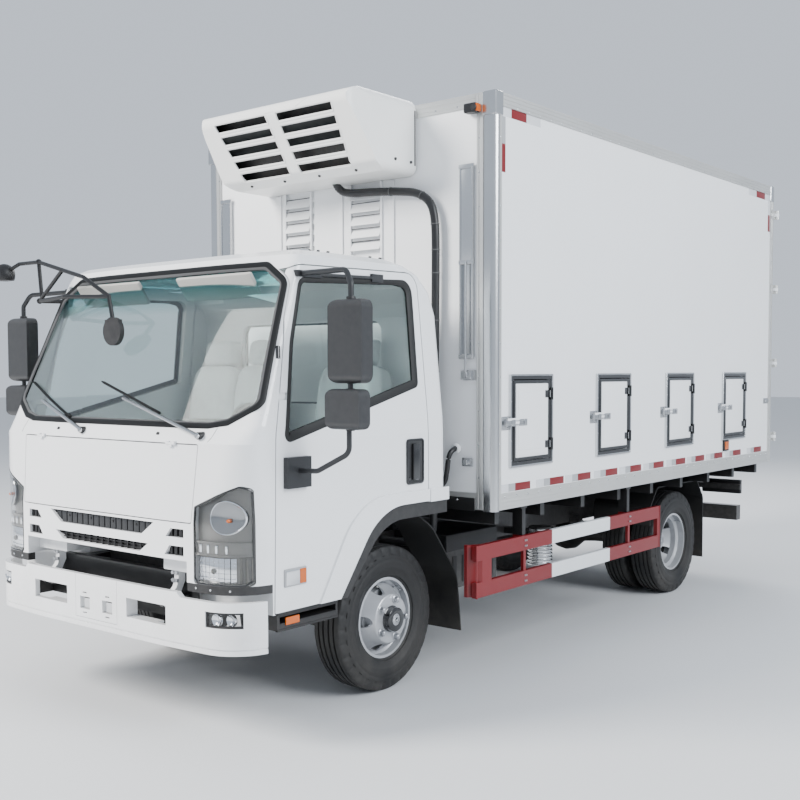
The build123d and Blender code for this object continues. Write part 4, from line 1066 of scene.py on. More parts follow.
@dataclass
class Cladding:
    """Gives every carried-over CAD node its finish."""

    finishes: dict[str, str] = field(default_factory=lambda: {
        "cab_body": "cab_paint", "front_lid": "cab_paint", "grille_panel": "cab_paint",
        "front_bumper": "cab_paint",
        "grille_mesh": "black_plastic", "cab_trims": "black_plastic", "cab_fittings": "black_plastic",
        "dashboard": "dash_plastic", "seats": "seat_sheet", "cab_glass": "screen_glass", "headlamps": "lens",
        "lamps": "lens", "box_roof": "panel_paint", "box_front_wall": "panel_paint",
        "box_edge_frame": "rail_metal",
        "box_hardware": "stainless", "box_floor": "chassis_black", "unit_housing": "unit_shell",
        "unit_core": "black_plastic", "unit_hoses": "hose_black", "side_guards": "guard_paint",
        "mudguards": "black_rubber", "rear_bars": "chassis_black", "tanks": "chassis_black",
    })
    prefixes: tuple[tuple[str, str], ...] = (
        ("door_glass", "glass"), ("door_fittings", "grey_plastic"), ("door_", "cab_paint"), ("hatch_",
                                                                                             "panel_paint"),
        ("rear_door", "panel_paint"), ("box_side", "panel_paint"), ("front_rim", "wheel_silver"),
        ("rear_rims", "wheel_silver"), ("front_tyre", "tyre_rubber"), ("rear_tyres", "tyre_rubber"),
    )

    def dress(self) -> None:
        """Assign the finishes, with black chassis paint for the rest."""
        for name, node in NODES.items():
            starts = (f for p, f in self.prefixes if name.startswith(p))
            finish = self.finishes.get(name) or next(starts, "chassis_black")
            node.data.materials.clear()
            node.data.materials.append(PAINT.get(finish))


@dataclass
class Wheels:
    """Grooved tyres, and the nuts, caps and valves of the disc wheels."""

    half_width: float = 0.0995
    radius: float = 0.386
    bead: float = 0.205
    front_x: float = 0.75
    rear_x: tuple[float, float] = (0.83, 0.598)
    nut_circle: float = 0.104
    front_seat: float = 0.866
    rear_seat: float = 0.724
    nuts: int = 5
    steps: int = 150
    notch_every: int = 5
    grooves: tuple[float, ...] = (-0.05, -0.018, 0.018, 0.05)
    front_cap: Pair = (0.9005, 0.03)
    rear_cap: Pair = (0.806, 0.064)
    hub_ring: tuple[Pair, ...] = (
        (0.8655, 0.06), (0.8655, 0.07), (0.87, 0.07), (0.873, 0.066), (0.9, 0.064), (0.9025, 0.06),
        (0.9025, 0.031), (0.895, 0.031))
    valve: tuple[Point, ...] = ((0.03, 0.12, 0.14), (0.062, 0.124, 0.146), (0.086, 0.112, 0.132))
    valve_radius: float = 0.0048

    def build(self) -> None:
        """Build both axles' tyres and nuts on both sides."""
        for side, word in SIDES:
            front, rear = f"front_wheel_{word}", f"rear_wheels_{word}"
            tyre = Shape()
            self._tyre(tyre, self.front_x, FRONT_AXLE_Y)
            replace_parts(tyre.make(f"front_tread_{word}", "tyre_rubber", front, side=side),
                        f"front_tyre_{word}")
            pair = Shape()
            for x in self.rear_x:
                self._tyre(pair, x, REAR_AXLE_Y)
            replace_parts(pair.make(f"rear_treads_{word}", "tyre_rubber", rear, side=side),
                        f"rear_tyres_{word}")
            self._nuts(self.front_seat, FRONT_AXLE_Y).make(f"front_nuts_{word}", "zinc", front, side=side)
            self._nuts(self.rear_seat, REAR_AXLE_Y).make(f"rear_nuts_{word}", "zinc", rear, side=side)
            self._cap(FRONT_AXLE_Y, *self.front_cap).make(f"front_cap_{word}", "stainless", front, side=side)
            ring = Shape().lathe(self.hub_ring, (0.0, FRONT_AXLE_Y, HUB_Z), "X", 48)
            ring.make(f"front_hub_ring_{word}", "gloss_black", front, side=side)
            self._cap(REAR_AXLE_Y, *self.rear_cap).make(f"rear_cap_{word}", "zinc", rear, side=side)
            for body, y, x in ((front, FRONT_AXLE_Y, self.front_x), (rear, REAR_AXLE_Y, self.rear_x[0])):
                valve = [Vector((x + dx, y + dy, HUB_Z + dz)) for dx, dy, dz in self.valve]
                Shape().sweep(valve, self.valve_radius).make(f"{body}_valve", "stainless", body, side=side)

    def _tyre(self, shape: Shape, x: float, y: float) -> None:
        """Add one tyre with ring grooves in its tread and notches along its shoulders.

        Args:
            shape: Shape that takes the tyre.
            x: Middle of the tyre.
            y: Middle of the axle.
        """
        half, out = self.half_width, self.radius
        tread = [(-0.08, 0.0)]
        for mid in self.grooves:
            tread += [(mid - 0.0058, 0.0), (mid - 0.0042, -0.0095), (mid + 0.0042, -0.0095), (mid + 0.0058,
                                                                                              0.0)]
        tread.append((0.08, 0.0))
        wall = [(0.057, self.bead, 0), (0.07, self.bead + 0.004, 0), (0.078, 0.22, 0), (0.0795, 0.226, 0),
                (0.0865, 0.2285, 0), (0.0905, 0.244, 0), (0.0965, 0.262, 0), (0.0985, 0.266, 0), (0.099,
                                                                                                  0.272, 0),
                (half, 0.29, 0), (0.0992, 0.306, 0), (0.0978, 0.3085, 0), (0.0972, 0.314, 0), (0.0978,
                                                                                               0.3165, 0),
                (0.0955, 0.334, 0), (0.0935, 0.337, 1), (0.0925, 0.352, 1), (0.089, 0.368, 1), (0.0845,
                                                                                                0.379, 1)]
        crown = [(t, out + d - 0.0035 * (t / 0.08) ** 2, 0) for t, d in tread]
        inner = [(-0.043, self.bead, 0), (-0.086, 0.3, 0), (-0.066, 0.372, 0), (0.066, 0.372, 0), (0.086, 0.3,
                                                                                                   0),
                 (0.043, self.bead, 0)]
        profile = [(-t, r, k) for t, r, k in wall] + crown + wall[::-1] + inner[::-1]
        part = bmesh.new()
        rings = []
        for i in range(self.steps):
            a = 2 * math.pi * i / self.steps
            ring = []
            for t, r, shoulder in profile:
                if shoulder and i % self.notch_every == 0:
                    t, r = t * 0.955, r - 0.004
                ring.append(part.verts.new((x + t, y + r * math.cos(a), HUB_Z + r * math.sin(a))))
            rings.append(ring)
        join_rings(part, rings, True)
        shape.take(part)

    def _nuts(self, seat: float, y: float) -> Shape:
        """Washer, nut with a chamfer, and stud end, repeated around the hub.

        Args:
            seat: X of the face that the washers lie on.
            y: Middle of the axle.

        Returns:
            The shape.
        """
        shape = Shape()
        a = 2 * math.pi * 0.5 / self.nuts + math.pi / 2
        spot = (seat, y - self.nut_circle * math.sin(a), HUB_Z + self.nut_circle * math.cos(a))
        shape.lathe([(0, 0.012), (0, 0.0215), (0.0035, 0.0215), (0.005, 0.0195), (0.005, 0.012)], spot,
                    steps=32)
        shape.lathe([(0.004, 0.0115), (0.004, 0.0175), (0.02, 0.0175), (0.0235, 0.015), (0.0235, 0.0115)],
                    spot, steps=6)
        shape.lathe([(0.0, 0.0), (0.0, 0.0113), (0.0265, 0.0113), (0.0285, 0.009), (0.0285, 0.0)], spot,
                    steps=20)
        return shape.copy_turned(2 * math.pi / self.nuts, "X", (seat, y, HUB_Z), self.nuts)

    def _cap(self, y: float, face: float, r: float) -> Shape:
        """Hub cap with a stepped rim and a small boss.

        Args:
            y: Middle of the axle.
            face: X of its face.
            r: Radius of its rim.

        Returns:
            The shape.
        """
        return Shape().lathe(
            [(-0.03, r + 0.001), (-0.01, r + 0.001), (-0.006, r - 0.003), (0.001, r * 0.86), (0.003, r * 0.7),
             (0.0045, r * 0.42), (0.0115, r * 0.38), (0.015, r * 0.3), (0.015, r * 0.16), (0.0095, r * 0.13),
             (0.0095, 0.0)], (face, y, HUB_Z), steps=48)


@dataclass
class BoxTrim:
    """Ribbed rails, rivets, tapes, hatch seals, latches, lamps and vents of the load box."""

    hinge_heights: Pair = (1.266, 1.558)
    panel: float = 1.1465
    hatch_face: float = 1.1565
    hatch_middle: float = 1.412
    cap_height: Pair = (3.076, 3.2085)
    tape_height: Pair = (1.017, 1.061)
    corner_tape: tuple[tuple[str, float, float, float, float], ...] = (
        ("tape_white", -1.16, -1.046, 3.08, 3.131), ("tape_red", -1.046, -0.89, 3.08, 3.131),
        ("tape_white", -0.89, -0.74, 3.08, 3.131), ("tape_grey", -1.148, -1.104, 2.93, 3.078),
        ("tape_red", -1.148, -1.104, 2.777, 2.93), ("tape_white", 2.407, 2.573, 3.08, 3.131),
        ("tape_red", 2.573, 2.759, 3.08, 3.131), ("tape_white", 2.759, 2.88, 3.08, 3.131),
        ("tape_white", 2.83, 2.874, 2.965, 3.078), ("tape_red", 2.83, 2.874, 2.829, 2.965))
    hatches: tuple[float, ...] = (-0.8365, 0.1575, 1.1515, 2.1455)
    tape_starts: tuple[float, ...] = (-1.15, -0.772, -0.442, -0.086, 0.254, 0.6, 0.957, 1.291, 1.634,
                                      2.0, 2.437)
    tape_set: tuple[tuple[str, float], ...] = (("tape_white", 0.084), ("tape_grey", 0.069), ("tape_red",
                                                                                             0.16))

    def build(self) -> None:
        """Build the trim of walls, hatches, front and rear."""
        self._rails()
        self._rivets()
        self._tapes()
        for n, y in enumerate(self.hatches):
            self._hatch(n + 1, y)
        self._front()
        self._rear()

    def _rails(self) -> None:
        """Raised bands along the rails, and the rounded corner covers."""
        front, rear, w = BOX_FRONT_Y, BOX_REAR_Y, BOX_HALF
        rise, sunk, edge = 0.0022, 0.001, 0.001
        shape = Shape()
        for z0, z1 in ((0.925, 0.937), (0.942, 0.96), (0.965, 0.983), (1.001, 1.0125), (3.131, 3.142),
                       (3.147, 3.163), (3.168, 3.184), (3.189, 3.202)):
            shape.box((w - sunk, front + 0.058, z0), (w + rise, rear - 0.055, z1), edge)
        for x0, x1 in ((1.03, 1.044), (1.048, 1.074)):
            shape.box((x0, front - rise, 0.925), (x1, front + sunk, 3.2), edge)
        for y0, y1 in ((front + 0.034, front + 0.044), (front + 0.048, front + 0.06), (rear - 0.05,
                                                                                       rear - 0.034),
                       (rear - 0.028, rear - 0.006)):
            shape.box((w - sunk, y0, 0.925), (w + rise, y1, 3.2), edge)
        for z0, z1 in ((3.131, 3.146), (3.152, 3.172), (3.178, 3.202)):
            shape.box((0.0004, front - rise, z0), (1.02, front + sunk, z1), edge)
        shape.mirrored().make("rail_bands", "rail_metal", CHASSIS)
        cover = Shape()
        r = 0.04
        bend = [(w + 0.003 - r + r * math.sin(a), BOX_FRONT_Y - 0.003 + r - r * math.cos(a))
                for a in (math.pi / 2 * k / 10 for k in range(11))]
        bend = [(1.08, BOX_FRONT_Y - 0.003), *bend, (w + 0.003, BOX_FRONT_Y + 0.028)]
        back = [(x - 0.004, y + 0.004) for x, y in bend]
        cover.plate([(x, y, 0.916) for x, y in bend + back[::-1]], (0, 0, 2.162))
        cover.mirrored().make("corner_covers", "stainless", CHASSIS, angle=25)
        caps = Shape()
        for y in (BOX_FRONT_Y, BOX_REAR_Y):
            inward = 1 if y < 0 else -1
            y0, y1 = sorted((y - 0.004 * inward, y + 0.075 * inward))
            caps.box((1.066, y0, self.cap_height[0]), (w + 0.005, y1, self.cap_height[1]), 0.012)
        caps.mirrored().make("corner_caps", "stainless", CHASSIS)
        dark = Shape().box((-1.02, BOX_FRONT_Y - 0.004, 0.914), (1.02, BOX_FRONT_Y + 0.002, 0.986), 0.003)
        dark.make("front_sill", "chassis_black", CHASSIS)

    def _rivets(self) -> None:
        """Rivets along the rails and posts."""
        rivets = FastenerRow(Stud.RIVET)
        w = BOX_HALF
        spots = []
        rail = [BOX_FRONT_Y + 0.1 + k * 0.12 for k in range(34)]
        post = [1.1 + k * 0.186 for k in range(11)]
        for side in (1, -1):
            for y in rail:
                spots += [((side * w, y, z), (side, 0, 0)) for z in (0.992, 3.137)]
            for z in post:
                spots += [((side * (w + 0.001), BOX_FRONT_Y + 0.046, z), (side, 0, 0)),
                          ((side * 1.046, BOX_FRONT_Y, z), (0, -1, 0)),
                          ((side * w, BOX_REAR_Y - 0.031, z), (side, 0, 0))]
        for k in range(-6, 7):
            spots.append(((k * 0.15, BOX_FRONT_Y, 3.149), (0, -1, 0)))
            spots.append(((k * 0.15, BOX_FRONT_Y - 0.004, 0.97), (0, -1, 0)))
        rivets.set("box_rivets", spots, 0.0062, 0.0036, "stainless", CHASSIS)

    def _tapes(self) -> None:
        """Reflecting tape along the side and on the top corners."""
        rows = {finish: Shape() for finish, _ in self.tape_set}
        z0, z1 = self.tape_height
        x0, x1 = self.panel - 0.0004, self.panel + 0.0007
        for start in self.tape_starts:
            y = start
            for finish, length in self.tape_set:
                rows[finish].box((x0, y, z0), (x1, min(y + length, 2.87), z1), 0.0003)
                y += length
        for finish, y0, y1, z0, z1 in self.corner_tape:
            rows[finish].box((x0, y0, z0), (x1, y1, z1), 0.0003)
        for finish, shape in rows.items():
            shape.mirrored().make(f"side_{finish}", finish, CHASSIS)

    def _hatch(self, n: int, y: float) -> None:
        """Seal, pressed leaf and toggle latch of one side hatch, on both sides.

        Args:
            n: Number of the hatch, from the front.
            y: Its middle.
        """
        face, middle = self.hatch_face, self.hatch_middle
        for side, word in SIDES:
            leaf = f"hatch_{word}_{n}_leaf"
            frame, seal, bright = Shape(), Shape(), Shape()
            for shape, outer, inner, rise in ((bright, (0.229, 0.261), (0.2185, 0.2505), 0.0045),
                                              (frame, (0.2185, 0.2505), (0.1995, 0.2315), 0.003),
                                              (seal, (0.1945, 0.2265), (0.176, 0.208), 0.0042)):
                self._band(shape, *(oblong(y - half, y + half, middle - high, middle + high, 0.004, 2)
                                    for half, high in (outer, inner)), face, rise)
            bright.make(f"hatch_rim_{word}_{n}", "stainless", CHASSIS, side=side)
            for z in self.hinge_heights:
                seal.box((face - 0.001, y + 0.135, z - 0.0212), (face + 0.0058, y + 0.19, z + 0.0212), 0.001)
                seal.lathe([(-0.0208, 0.0), (-0.0208, 0.0096), (0.0208, 0.0096), (0.0208, 0.0)],
                           (face + 0.011, y + 0.2, z), "Z", 28)
                for low in (z - 0.0357, z + 0.0205):
                    frame.box((face - 0.001, y + 0.1995, low), (face + 0.0115, y + 0.21, low + 0.0154), 0.001)
                    frame.lathe([(0.0, 0.0), (0.0, 0.0097), (0.015, 0.0097), (0.015, 0.0)],
                                (face + 0.011, y + 0.2, low), "Z", 28)
            frame.make(f"hatch_gasket_{word}_{n}", "gloss_black", CHASSIS, side=side)
            seal.make(f"hatch_seal_{word}_{n}", "gloss_black", leaf, side=side)
            press = Shape().box((face - 0.001, y - 0.166, 1.214), (face + 0.003, y + 0.166, 1.61), 0.0022)
            press.box((face, y - 0.15, 1.243), (face + 0.0052, y + 0.15, 1.581), 0.0024)
            press.make(f"hatch_pressing_{word}_{n}", "panel_paint", leaf, side=side)
            plate = Shape().box((self.panel, y - 0.3025, 1.363), (self.panel + 0.0024, y - 0.232, 1.439),
                                0.0008)
            plate.box((self.panel, y - 0.27, 1.379), (self.panel + 0.011, y - 0.25, 1.424), 0.002)
            plate.make(f"latch_base_{word}_{n}", "stainless", CHASSIS, side=side)
            strap = Shape().box((face + 0.0075, y - 0.285, 1.389), (face + 0.0125, y - 0.19, 1.415), 0.002)
            strap.box((face + 0.007, y - 0.23, 1.384), (face + 0.016, y - 0.196, 1.42), 0.003)
            strap.box((face + 0.001, y - 0.144, 1.383), (face + 0.0095, y - 0.064, 1.421), 0.002)
            strap.box((face + 0.008, y - 0.098, 1.387), (face + 0.015, y - 0.078, 1.417), 0.003)
            for z in (1.391, 1.413):
                strap.sweep([Vector((face + 0.011, y - 0.2, z)), Vector((face + 0.012, y - 0.09, z))],
                            0.0026, 8)
            strap.make(f"latch_strap_{word}_{n}", "stainless", leaf, side=side)
        spots = [((side * (self.panel + 0.0024), y - 0.3025 + dy, z), (side, 0, 0))
                 for side in (1, -1) for dy in (0.009, 0.062) for z in (1.371, 1.431)]
        spots += [((side * (face + 0.0045), y + dy, z), (side, 0, 0)) for side in (1, -1)
                  for dy in (-0.2235, 0.2235) for z in (1.19, 1.3, 1.52, 1.63)]
        FastenerRow(Stud.RIVET).set(f"hatch_rivets_{n}", spots, 0.0042, 0.0024, "zinc", CHASSIS)

    def _band(self, shape: Shape, outer: Sequence[Pair], inner: Sequence[Pair], x: float,
              rise: float) -> None:
        """Add a flat ring between two outlines, with chamfered edges.

        Args:
            shape: Shape that takes the ring.
            outer: Its outer outline.
            inner: Its inner outline.
            x: Where it lies on the wall.
            rise: How far it stands out.
        """
        drop, root = 0.3 * rise, x - 0.002
        shape.strip([[(out, a, b) for a, b in row] for row, out in (
            (outer, root), (outer, x + rise - drop), (outward(outer, -drop), x + rise),
            (outward(inner, drop), x + rise), (inner, x + rise - drop), (inner, root), (outer, root))])

    def _front(self) -> None:
        """Vent slides, pull rods, louvres with painted shade in their gaps, clamps, corner lamps and the
        drain hose of the front wall.
        """
        y = BOX_FRONT_Y
        metal, white, black = Shape(), Shape(), Shape()
        metal.box((0.931, y - 0.016, 2.296), (1.01, y - 0.009, 2.8), 0.002)
        for x in (0.926, 1.008):
            metal.box((x, y - 0.02, 1.76), (x + 0.009, y - 0.008, 2.812), 0.002)
        for z in (1.758, 2.28, 2.804):
            metal.box((0.92, y - 0.019, z), (1.021, y - 0.008, z + 0.024), 0.003)
        metal.sweep([Vector((0.972, y - 0.024, 1.668)), Vector((0.972, y - 0.024, 2.3))], 0.006, 12)
        metal.box((0.936, y - 0.02, 1.645), (1.008, y - 0.009, 1.692), 0.002)
        metal.box((0.936, y - 0.006, 1.161), (1.006, y + 0.004, 1.208), 0.002)
        for z in (1.669, 1.185):
            metal.box((0.958, y - 0.03, z - 0.014), (0.984, y - 0.004, z + 0.014), 0.004)
        metal.mirrored().make("vent_slides", "stainless", CHASSIS)
        spots = [((s * x, y - 0.02, z), (0, -1, 0)) for s in (1, -1) for x in (0.9305, 1.0125)
                 for z in (1.77, 1.86, 1.96, 2.06, 2.16, 2.3, 2.42, 2.54, 2.66, 2.78)]
        spots += [((s * x, y - 0.02, z), (0, -1, 0)) for s in (1, -1) for x in (0.943, 1.001)
                  for z in (1.652, 1.685)]
        FastenerRow(Stud.RIVET).set("vent_rivets", spots, 0.0036, 0.0022, "zinc", CHASSIS)
        for x0, x1, z0, z1 in ((-0.44, -0.205, 2.345, 2.835), (0.105, 0.36, 2.345, 2.835)):
            for low, high in (((x0, z0), (x0 + 0.014, z1)), ((x1 - 0.014, z0), (x1, z1)), ((x0, z0),
                                                                                           (x1, z0 + 0.014)),
                              ((x0, z1 - 0.014), (x1, z1))):
                white.box((low[0], y - 0.006, low[1]), (high[0], y + 0.006, high[1]), 0.002)
            for k in range(5):
                z = z0 + 0.09 + k * 0.075
                turn = Matrix.Rotation(math.radians(-28), 4, "X")
                white.box((x0 + 0.014, y - 0.004, z - 0.028), (x1 - 0.014, y - 0.001, z + 0.028), 0.001, turn)
                # black strip behind each slat's gap: painted shade standing in for the dark opening between
                # slats
                black.box((x0 + 0.016, y - 0.001, z + 0.03), (x1 - 0.016, y + 0.004, z + 0.0345), 0.0005)
        for x0, x1 in ((-0.52, -0.47), (0.41, 0.45), (0.02, 0.05)):
            white.box((x0, y - 0.0035, 2.05), (x1, y + 0.004, 2.8), 0.002)
        white.make("air_louvres", "panel_paint", CHASSIS)
        # the louvres' painted shade, made in black plastic
        black.make("louvre_gap_shade", "black_plastic", CHASSIS)
        lamp = Shape().box((0.975, y - 0.052, 3.094), (1.054, y + 0.001, 3.146), 0.01)
        lamp.lathe([(-0.01, 0.0), (-0.01, 0.016), (0.004, 0.02), (0.012, 0.02)], (1.04, y - 0.046,
                                                                                  3.12), "Y", 24)
        lamp.mirrored().make("corner_lamps", "black_plastic", CHASSIS)
        Shape().box((1.052, y - 0.046, 3.099), (1.062, y - 0.006, 3.141), 0.004).mirrored().make(
            "corner_lenses", "lamp_amber", CHASSIS)
        route = [Vector(p) for p in ((0.893, y - 0.004, 1.257), (0.893, y - 0.04, 1.252), (0.884, y - 0.062,
                                                                                           1.215),
                                     (0.874, y - 0.064, 1.12), (0.858, y - 0.062, 1.066), (0.825, y - 0.06,
                                                                                           1.048),
                                     (0.785, y - 0.058, 1.047))]
        Shape().sweep(smooth_path(route, 40), 0.0145, 14).make("drain_hose", "hose_black", CHASSIS)
        Shape().lathe([(0.002, 0.03), (-0.006, 0.03), (-0.01, 0.026), (-0.012, 0.016)], (0.893, y, 1.257),
                      "Y", 32).make("drain_flange", "panel_paint", CHASSIS)
        hook = Shape().box((self.panel, 2.782, 1.412), (self.panel + 0.003, 2.915, 1.456), 0.001)
        hook.box((self.panel + 0.002, 2.8, 1.424), (self.panel + 0.018, 2.862, 1.444), 0.004)
        hook.mirrored().make("door_hooks", "stainless", CHASSIS)
        lamp = Shape().box((self.panel, 1.943, 1.067), (self.panel + 0.016, 2.038, 1.15), 0.006)
        lamp.mirrored().make("side_lamps", "black_plastic", CHASSIS)
        lens = Shape().box((self.panel + 0.012, 1.955, 1.079), (self.panel + 0.02, 2.026, 1.138), 0.004)
        lens.mirrored().make("side_lamp_lenses", "lamp_amber", CHASSIS)

    def _rear(self) -> None:
        """Door seals, lock-rod cams, handles and tape of the rear doors."""
        y = BOX_REAR_Y + 0.01
        for side, word in SIDES:
            body = f"rear_door_{word}_leaf"
            seal, cams = Shape(), Shape()
            outer = [(0.006, 1.024), (1.074, 1.024), (1.074, 3.082), (0.006, 3.082)]
            inner = [(0.03, 1.048), (1.05, 1.048), (1.05, 3.058), (0.03, 3.058)]
            rails = [[(a, y + h, b) for a, b in row] for row, h in
                     ((outer, -0.002), (outer, 0.003), (inner, 0.003), (inner, -0.002), (outer, -0.002))]
            seal.strip(rails)
            seal.make(f"rear_seal_{word}", "gloss_black", body, side=side)
            for x in (0.26, 0.8):
                for z in (0.978, 3.126):
                    cams.box((x - 0.022, y + 0.006, z - 0.03), (x + 0.022, y + 0.04, z + 0.03), 0.006)
                for z in (1.17, 2.054, 2.935):
                    cams.box((x - 0.032, y + 0.03, z - 0.027), (x + 0.032, y + 0.042, z + 0.027), 0.004)
                cams.box((x + 0.15, y + 0.024, 1.474), (x + 0.192, y + 0.04, 1.51), 0.006)
            cams.make(f"rear_lock_fittings_{word}", "zinc", body, side=side)
            tape, red = Shape(), Shape()
            for k in range(5):
                x = 0.075 + k * 0.19
                (tape if k % 2 else red).box((x, y + 0.0002, 1.115), (x + 0.185, y + 0.0012, 1.165), 0.0003)
            tape.make(f"rear_tape_white_{word}", "tape_white", body, side=side)
            red.make(f"rear_tape_red_{word}", "tape_red", body, side=side)


def smooth_path(points: Sequence[Vector], count: int) -> list[Vector]:
    """Even points along the smooth spline that the given points control.

    Args:
        points: Control points.
        count: Number of points wanted.

    Returns:
        Points along the spline.
    """
    data = bpy.data.curves.new("route", "CURVE")
    data.dimensions = "3D"
    spline = data.splines.new("NURBS")
    spline.points.add(len(points) - 1)
    for spot, place in zip(spline.points, points):
        spot.co = (*place, 1.0)
    spline.order_u = 3
    spline.use_endpoint_u = True
    spline.resolution_u = 24
    holder = bpy.data.objects.new("route", data)
    bpy.context.scene.collection.objects.link(holder)
    graph = bpy.context.evaluated_depsgraph_get()
    mesh = bpy.data.meshes.new_from_object(holder.evaluated_get(graph), depsgraph=graph)
    raw = [v.co.copy() for v in mesh.vertices]
    bpy.data.objects.remove(holder)
    bpy.data.meshes.remove(mesh)
    reach = [0.0]
    for a, b in zip(raw[:-1], raw[1:]):
        reach.append(reach[-1] + (b - a).length)
    out = []
    k = 0
    for i in range(count):
        want = reach[-1] * i / (count - 1)
        while k < len(reach) - 2 and reach[k + 1] < want:
            k += 1
        span = reach[k + 1] - reach[k]
        out.append(raw[k].lerp(raw[k + 1], (want - reach[k]) / span if span > 0 else 0.0))
    return out


def off(y: float) -> float:
    """Y of a place given by its offset behind the front axle."""
    return FRONT_AXLE_Y + y


@dataclass
class CabTrim:
    """Rubbers, seams, wipers, handles, mirrors' glass and small lamps of the cab."""

    screen: tuple[Row, ...] = (
        (0.7, 1.452, 0.06), (0.8, 1.468, 0.0), (0.944, 1.545, 0.04), (0.872, 2.11, 0.06), (0.735, 2.196,
                                                                                           0.06),
        (-0.735, 2.196, 0.06), (-0.872, 2.11, 0.06), (-0.944, 1.545, 0.04), (-0.8, 1.468, 0.0),
        (-0.7, 1.452, 0.06))
    window: tuple[Row, ...] = ((-0.895, 1.379, 0.02), (-0.815, 1.829, 0.4), (-0.722, 2.122, 0.05),
                               (0.105, 2.156, 0.06), (0.095, 1.622, 0.02))
    wipers: tuple[tuple[Point, Point], ...] = (((-0.184, -1.172, 1.404), (-0.596, -1.12, 1.545)),
                                               ((0.686, -1.158, 1.404), (0.092, -1.118, 1.566)))
    roof_lamp: Point = (0.8, FRONT_AXLE_Y - 0.585, 2.262)

    def build(self) -> None:
        """Build every group of cab trim."""
        self.shell = Skin("cab_body", "front_lid", "cab_glass")
        self._screen()
        self._wipers()
        self._grille()
        self._small()
        for side, word in SIDES:
            self._door(side, word)

    def _screen(self) -> None:
        """Windscreen rubber with its pale inner lip, and the rear window's rubber."""
        path = self.shell.ahead(along(outward(rounded(self.screen), 0.01), 0.022))
        middle = Vector((0, off(-1.0), 1.8))
        black = ((-0.01, -0.006), (-0.01, 0.0025), (-0.004, 0.0065), (0.01, 0.007), (0.019, 0.003),
                 (0.021, -0.014))
        lip = ((0.018, -0.012), (0.018, 0.0015), (0.023, 0.001), (0.031, -0.005), (0.032, -0.012))
        Shape().bead(*path, black, toward=middle).make("screen_rubber", "black_rubber", CAB)
        Shape().bead(*path, lip, toward=middle).make("screen_lip", "seal_grey", CAB)
        behind_y = 1.0
        rear = [(x, behind_y, z)
                for x, z in along(outward(oblong(-0.56, 0.56, 1.5, 1.975, 0.06), 0.008), 0.03)]
        Shape().bead(*Skin("cab_body").trace(rear, (0, -1, 0)), ((-0.008, -0.004), (-0.008, 0.004),
                                                                 (0.012, 0.005), (0.018, -0.012)),
                     toward=Vector((0, off(0.3), 1.7))).make("rear_window_rubber", "black_rubber", CAB)
        seams = Shape()
        for rows in (((0.958, 1.5), (0.972, 1.5)), ((0.742, 1.376), (0.752, 1.396), (0.756, 1.44))):
            seams.bead(*self.shell.ahead(rows, closed=False), ((-0.0012, -0.002), (-0.0012, 0.0004),
                                                               (0.0012, 0.0004), (0.0012, -0.002)),
                       closed=False)
        seams.mirrored().make("cab_seams", "black_rubber", CAB)
        slot = Shape()
        run = ((-0.8745, 1.93), (-0.88, 1.9), (-0.895, 1.81), (-0.9065, 1.752))
        slot.bead(*Skin("cab_body").aside([(off(y), z) for y, z in run], closed=False), ((-0.01, -0.004),
                                                                                         (-0.01, 0.003),
                                                                                         (-0.005, 0.006),
                                                                                         (0.005, 0.006),
                                                                                         (0.01, 0.003),
                                  (0.01, -0.004)), closed=False)
        slot.mirrored().make("pillar_vents", "gloss_black", CAB)

    def _wipers(self) -> None:
        """Silver arm covers with their pivots' caps, and blades on the glass."""
        arms, blades = Shape(), Shape()
        for bend, tip in self.wipers:
            a, b = Vector((bend[0], off(bend[1]) - 0.004, bend[2])), Vector((tip[0], off(tip[1]) - 0.003,
                                                                             tip[2]))
            arms.sweep([a.lerp(b, k / 8) for k in range(9)], 0.0105, 10, flat=0.7)
            arms.lathe([(-0.014, 0.0), (-0.014, 0.009), (-0.01, 0.013), (0.0, 0.014)], tuple(a), "Y", 20)
            way = Vector((tip[0] - bend[0], 0, tip[2] - bend[2])).normalized()
            spots = [(tip[0] + way.x * t, tip[2] + way.z * t) for t in (-0.27 + 0.06 * k for k in range(10))]
            path, normals = Skin("cab_glass").ahead(spots, closed=False)
            lifted = [p + n * 0.01 for p, n in zip(path, normals)]
            blades.bead(path, normals, ((-0.0025, 0.0), (-0.007, 0.009), (-0.0045, 0.013), (0.0045, 0.013),
                                        (0.007, 0.009), (0.0025, 0.0)), closed=False)
            blades.sweep([p + n * 0.01 for p, n in zip(lifted, normals)], 0.0045, 8)
        arms.make("wiper_arms", "stainless", CAB)
        blades.make("wiper_blades", "black_rubber", CAB)

    def _grille(self) -> None:
        """Toothed insert, mesh bars and side slats behind the grille's slots."""
        mesh = Skin("grille_mesh")
        teeth, bars = Shape(), Shape()
        rows = [(teeth, -0.405 + 0.045 * k, 0.038, 0.926, 0.986) for k in range(19)]
        rows += [(bars, -0.35 + 0.05 * k, 0.007, 0.84, 0.892) for k in range(15)]
        rows += [(bars, s * (0.52 + 0.032 * k), 0.02, z0, z1) for s in (1, -1) for k in range(4)
                 for z0, z1 in ((0.932, 0.978), (0.848, 0.898))]
        for shape, x, wide, z0, z1 in rows:
            y = mesh.meet(x, (z0 + z1) / 2).y
            shape.box((x - wide / 2, y - 0.012, z0), (x + wide / 2, y + 0.002, z1), 0.002)
        for z in (0.857, 0.873):
            path, normals = mesh.ahead([(-0.36 + 0.04 * k, z) for k in range(19)], closed=False)
            bars.sweep([p + n * 0.008 for p, n in zip(path, normals)], 0.0028, 6)
        teeth.make("grille_teeth", "grey_plastic", CAB)
        bars.make("grille_bars", "black_plastic", CAB)
        spots = [(tuple(mesh.meet(x, 0.968) + Vector((0, -0.012, 0))), (0, -1, 0))
                 for x in (-0.27, -0.09, 0.09, 0.27)]
        FastenerRow(Stud.ROUND).set("grille_clips", spots, 0.006, 0.004, "black_plastic", CAB)

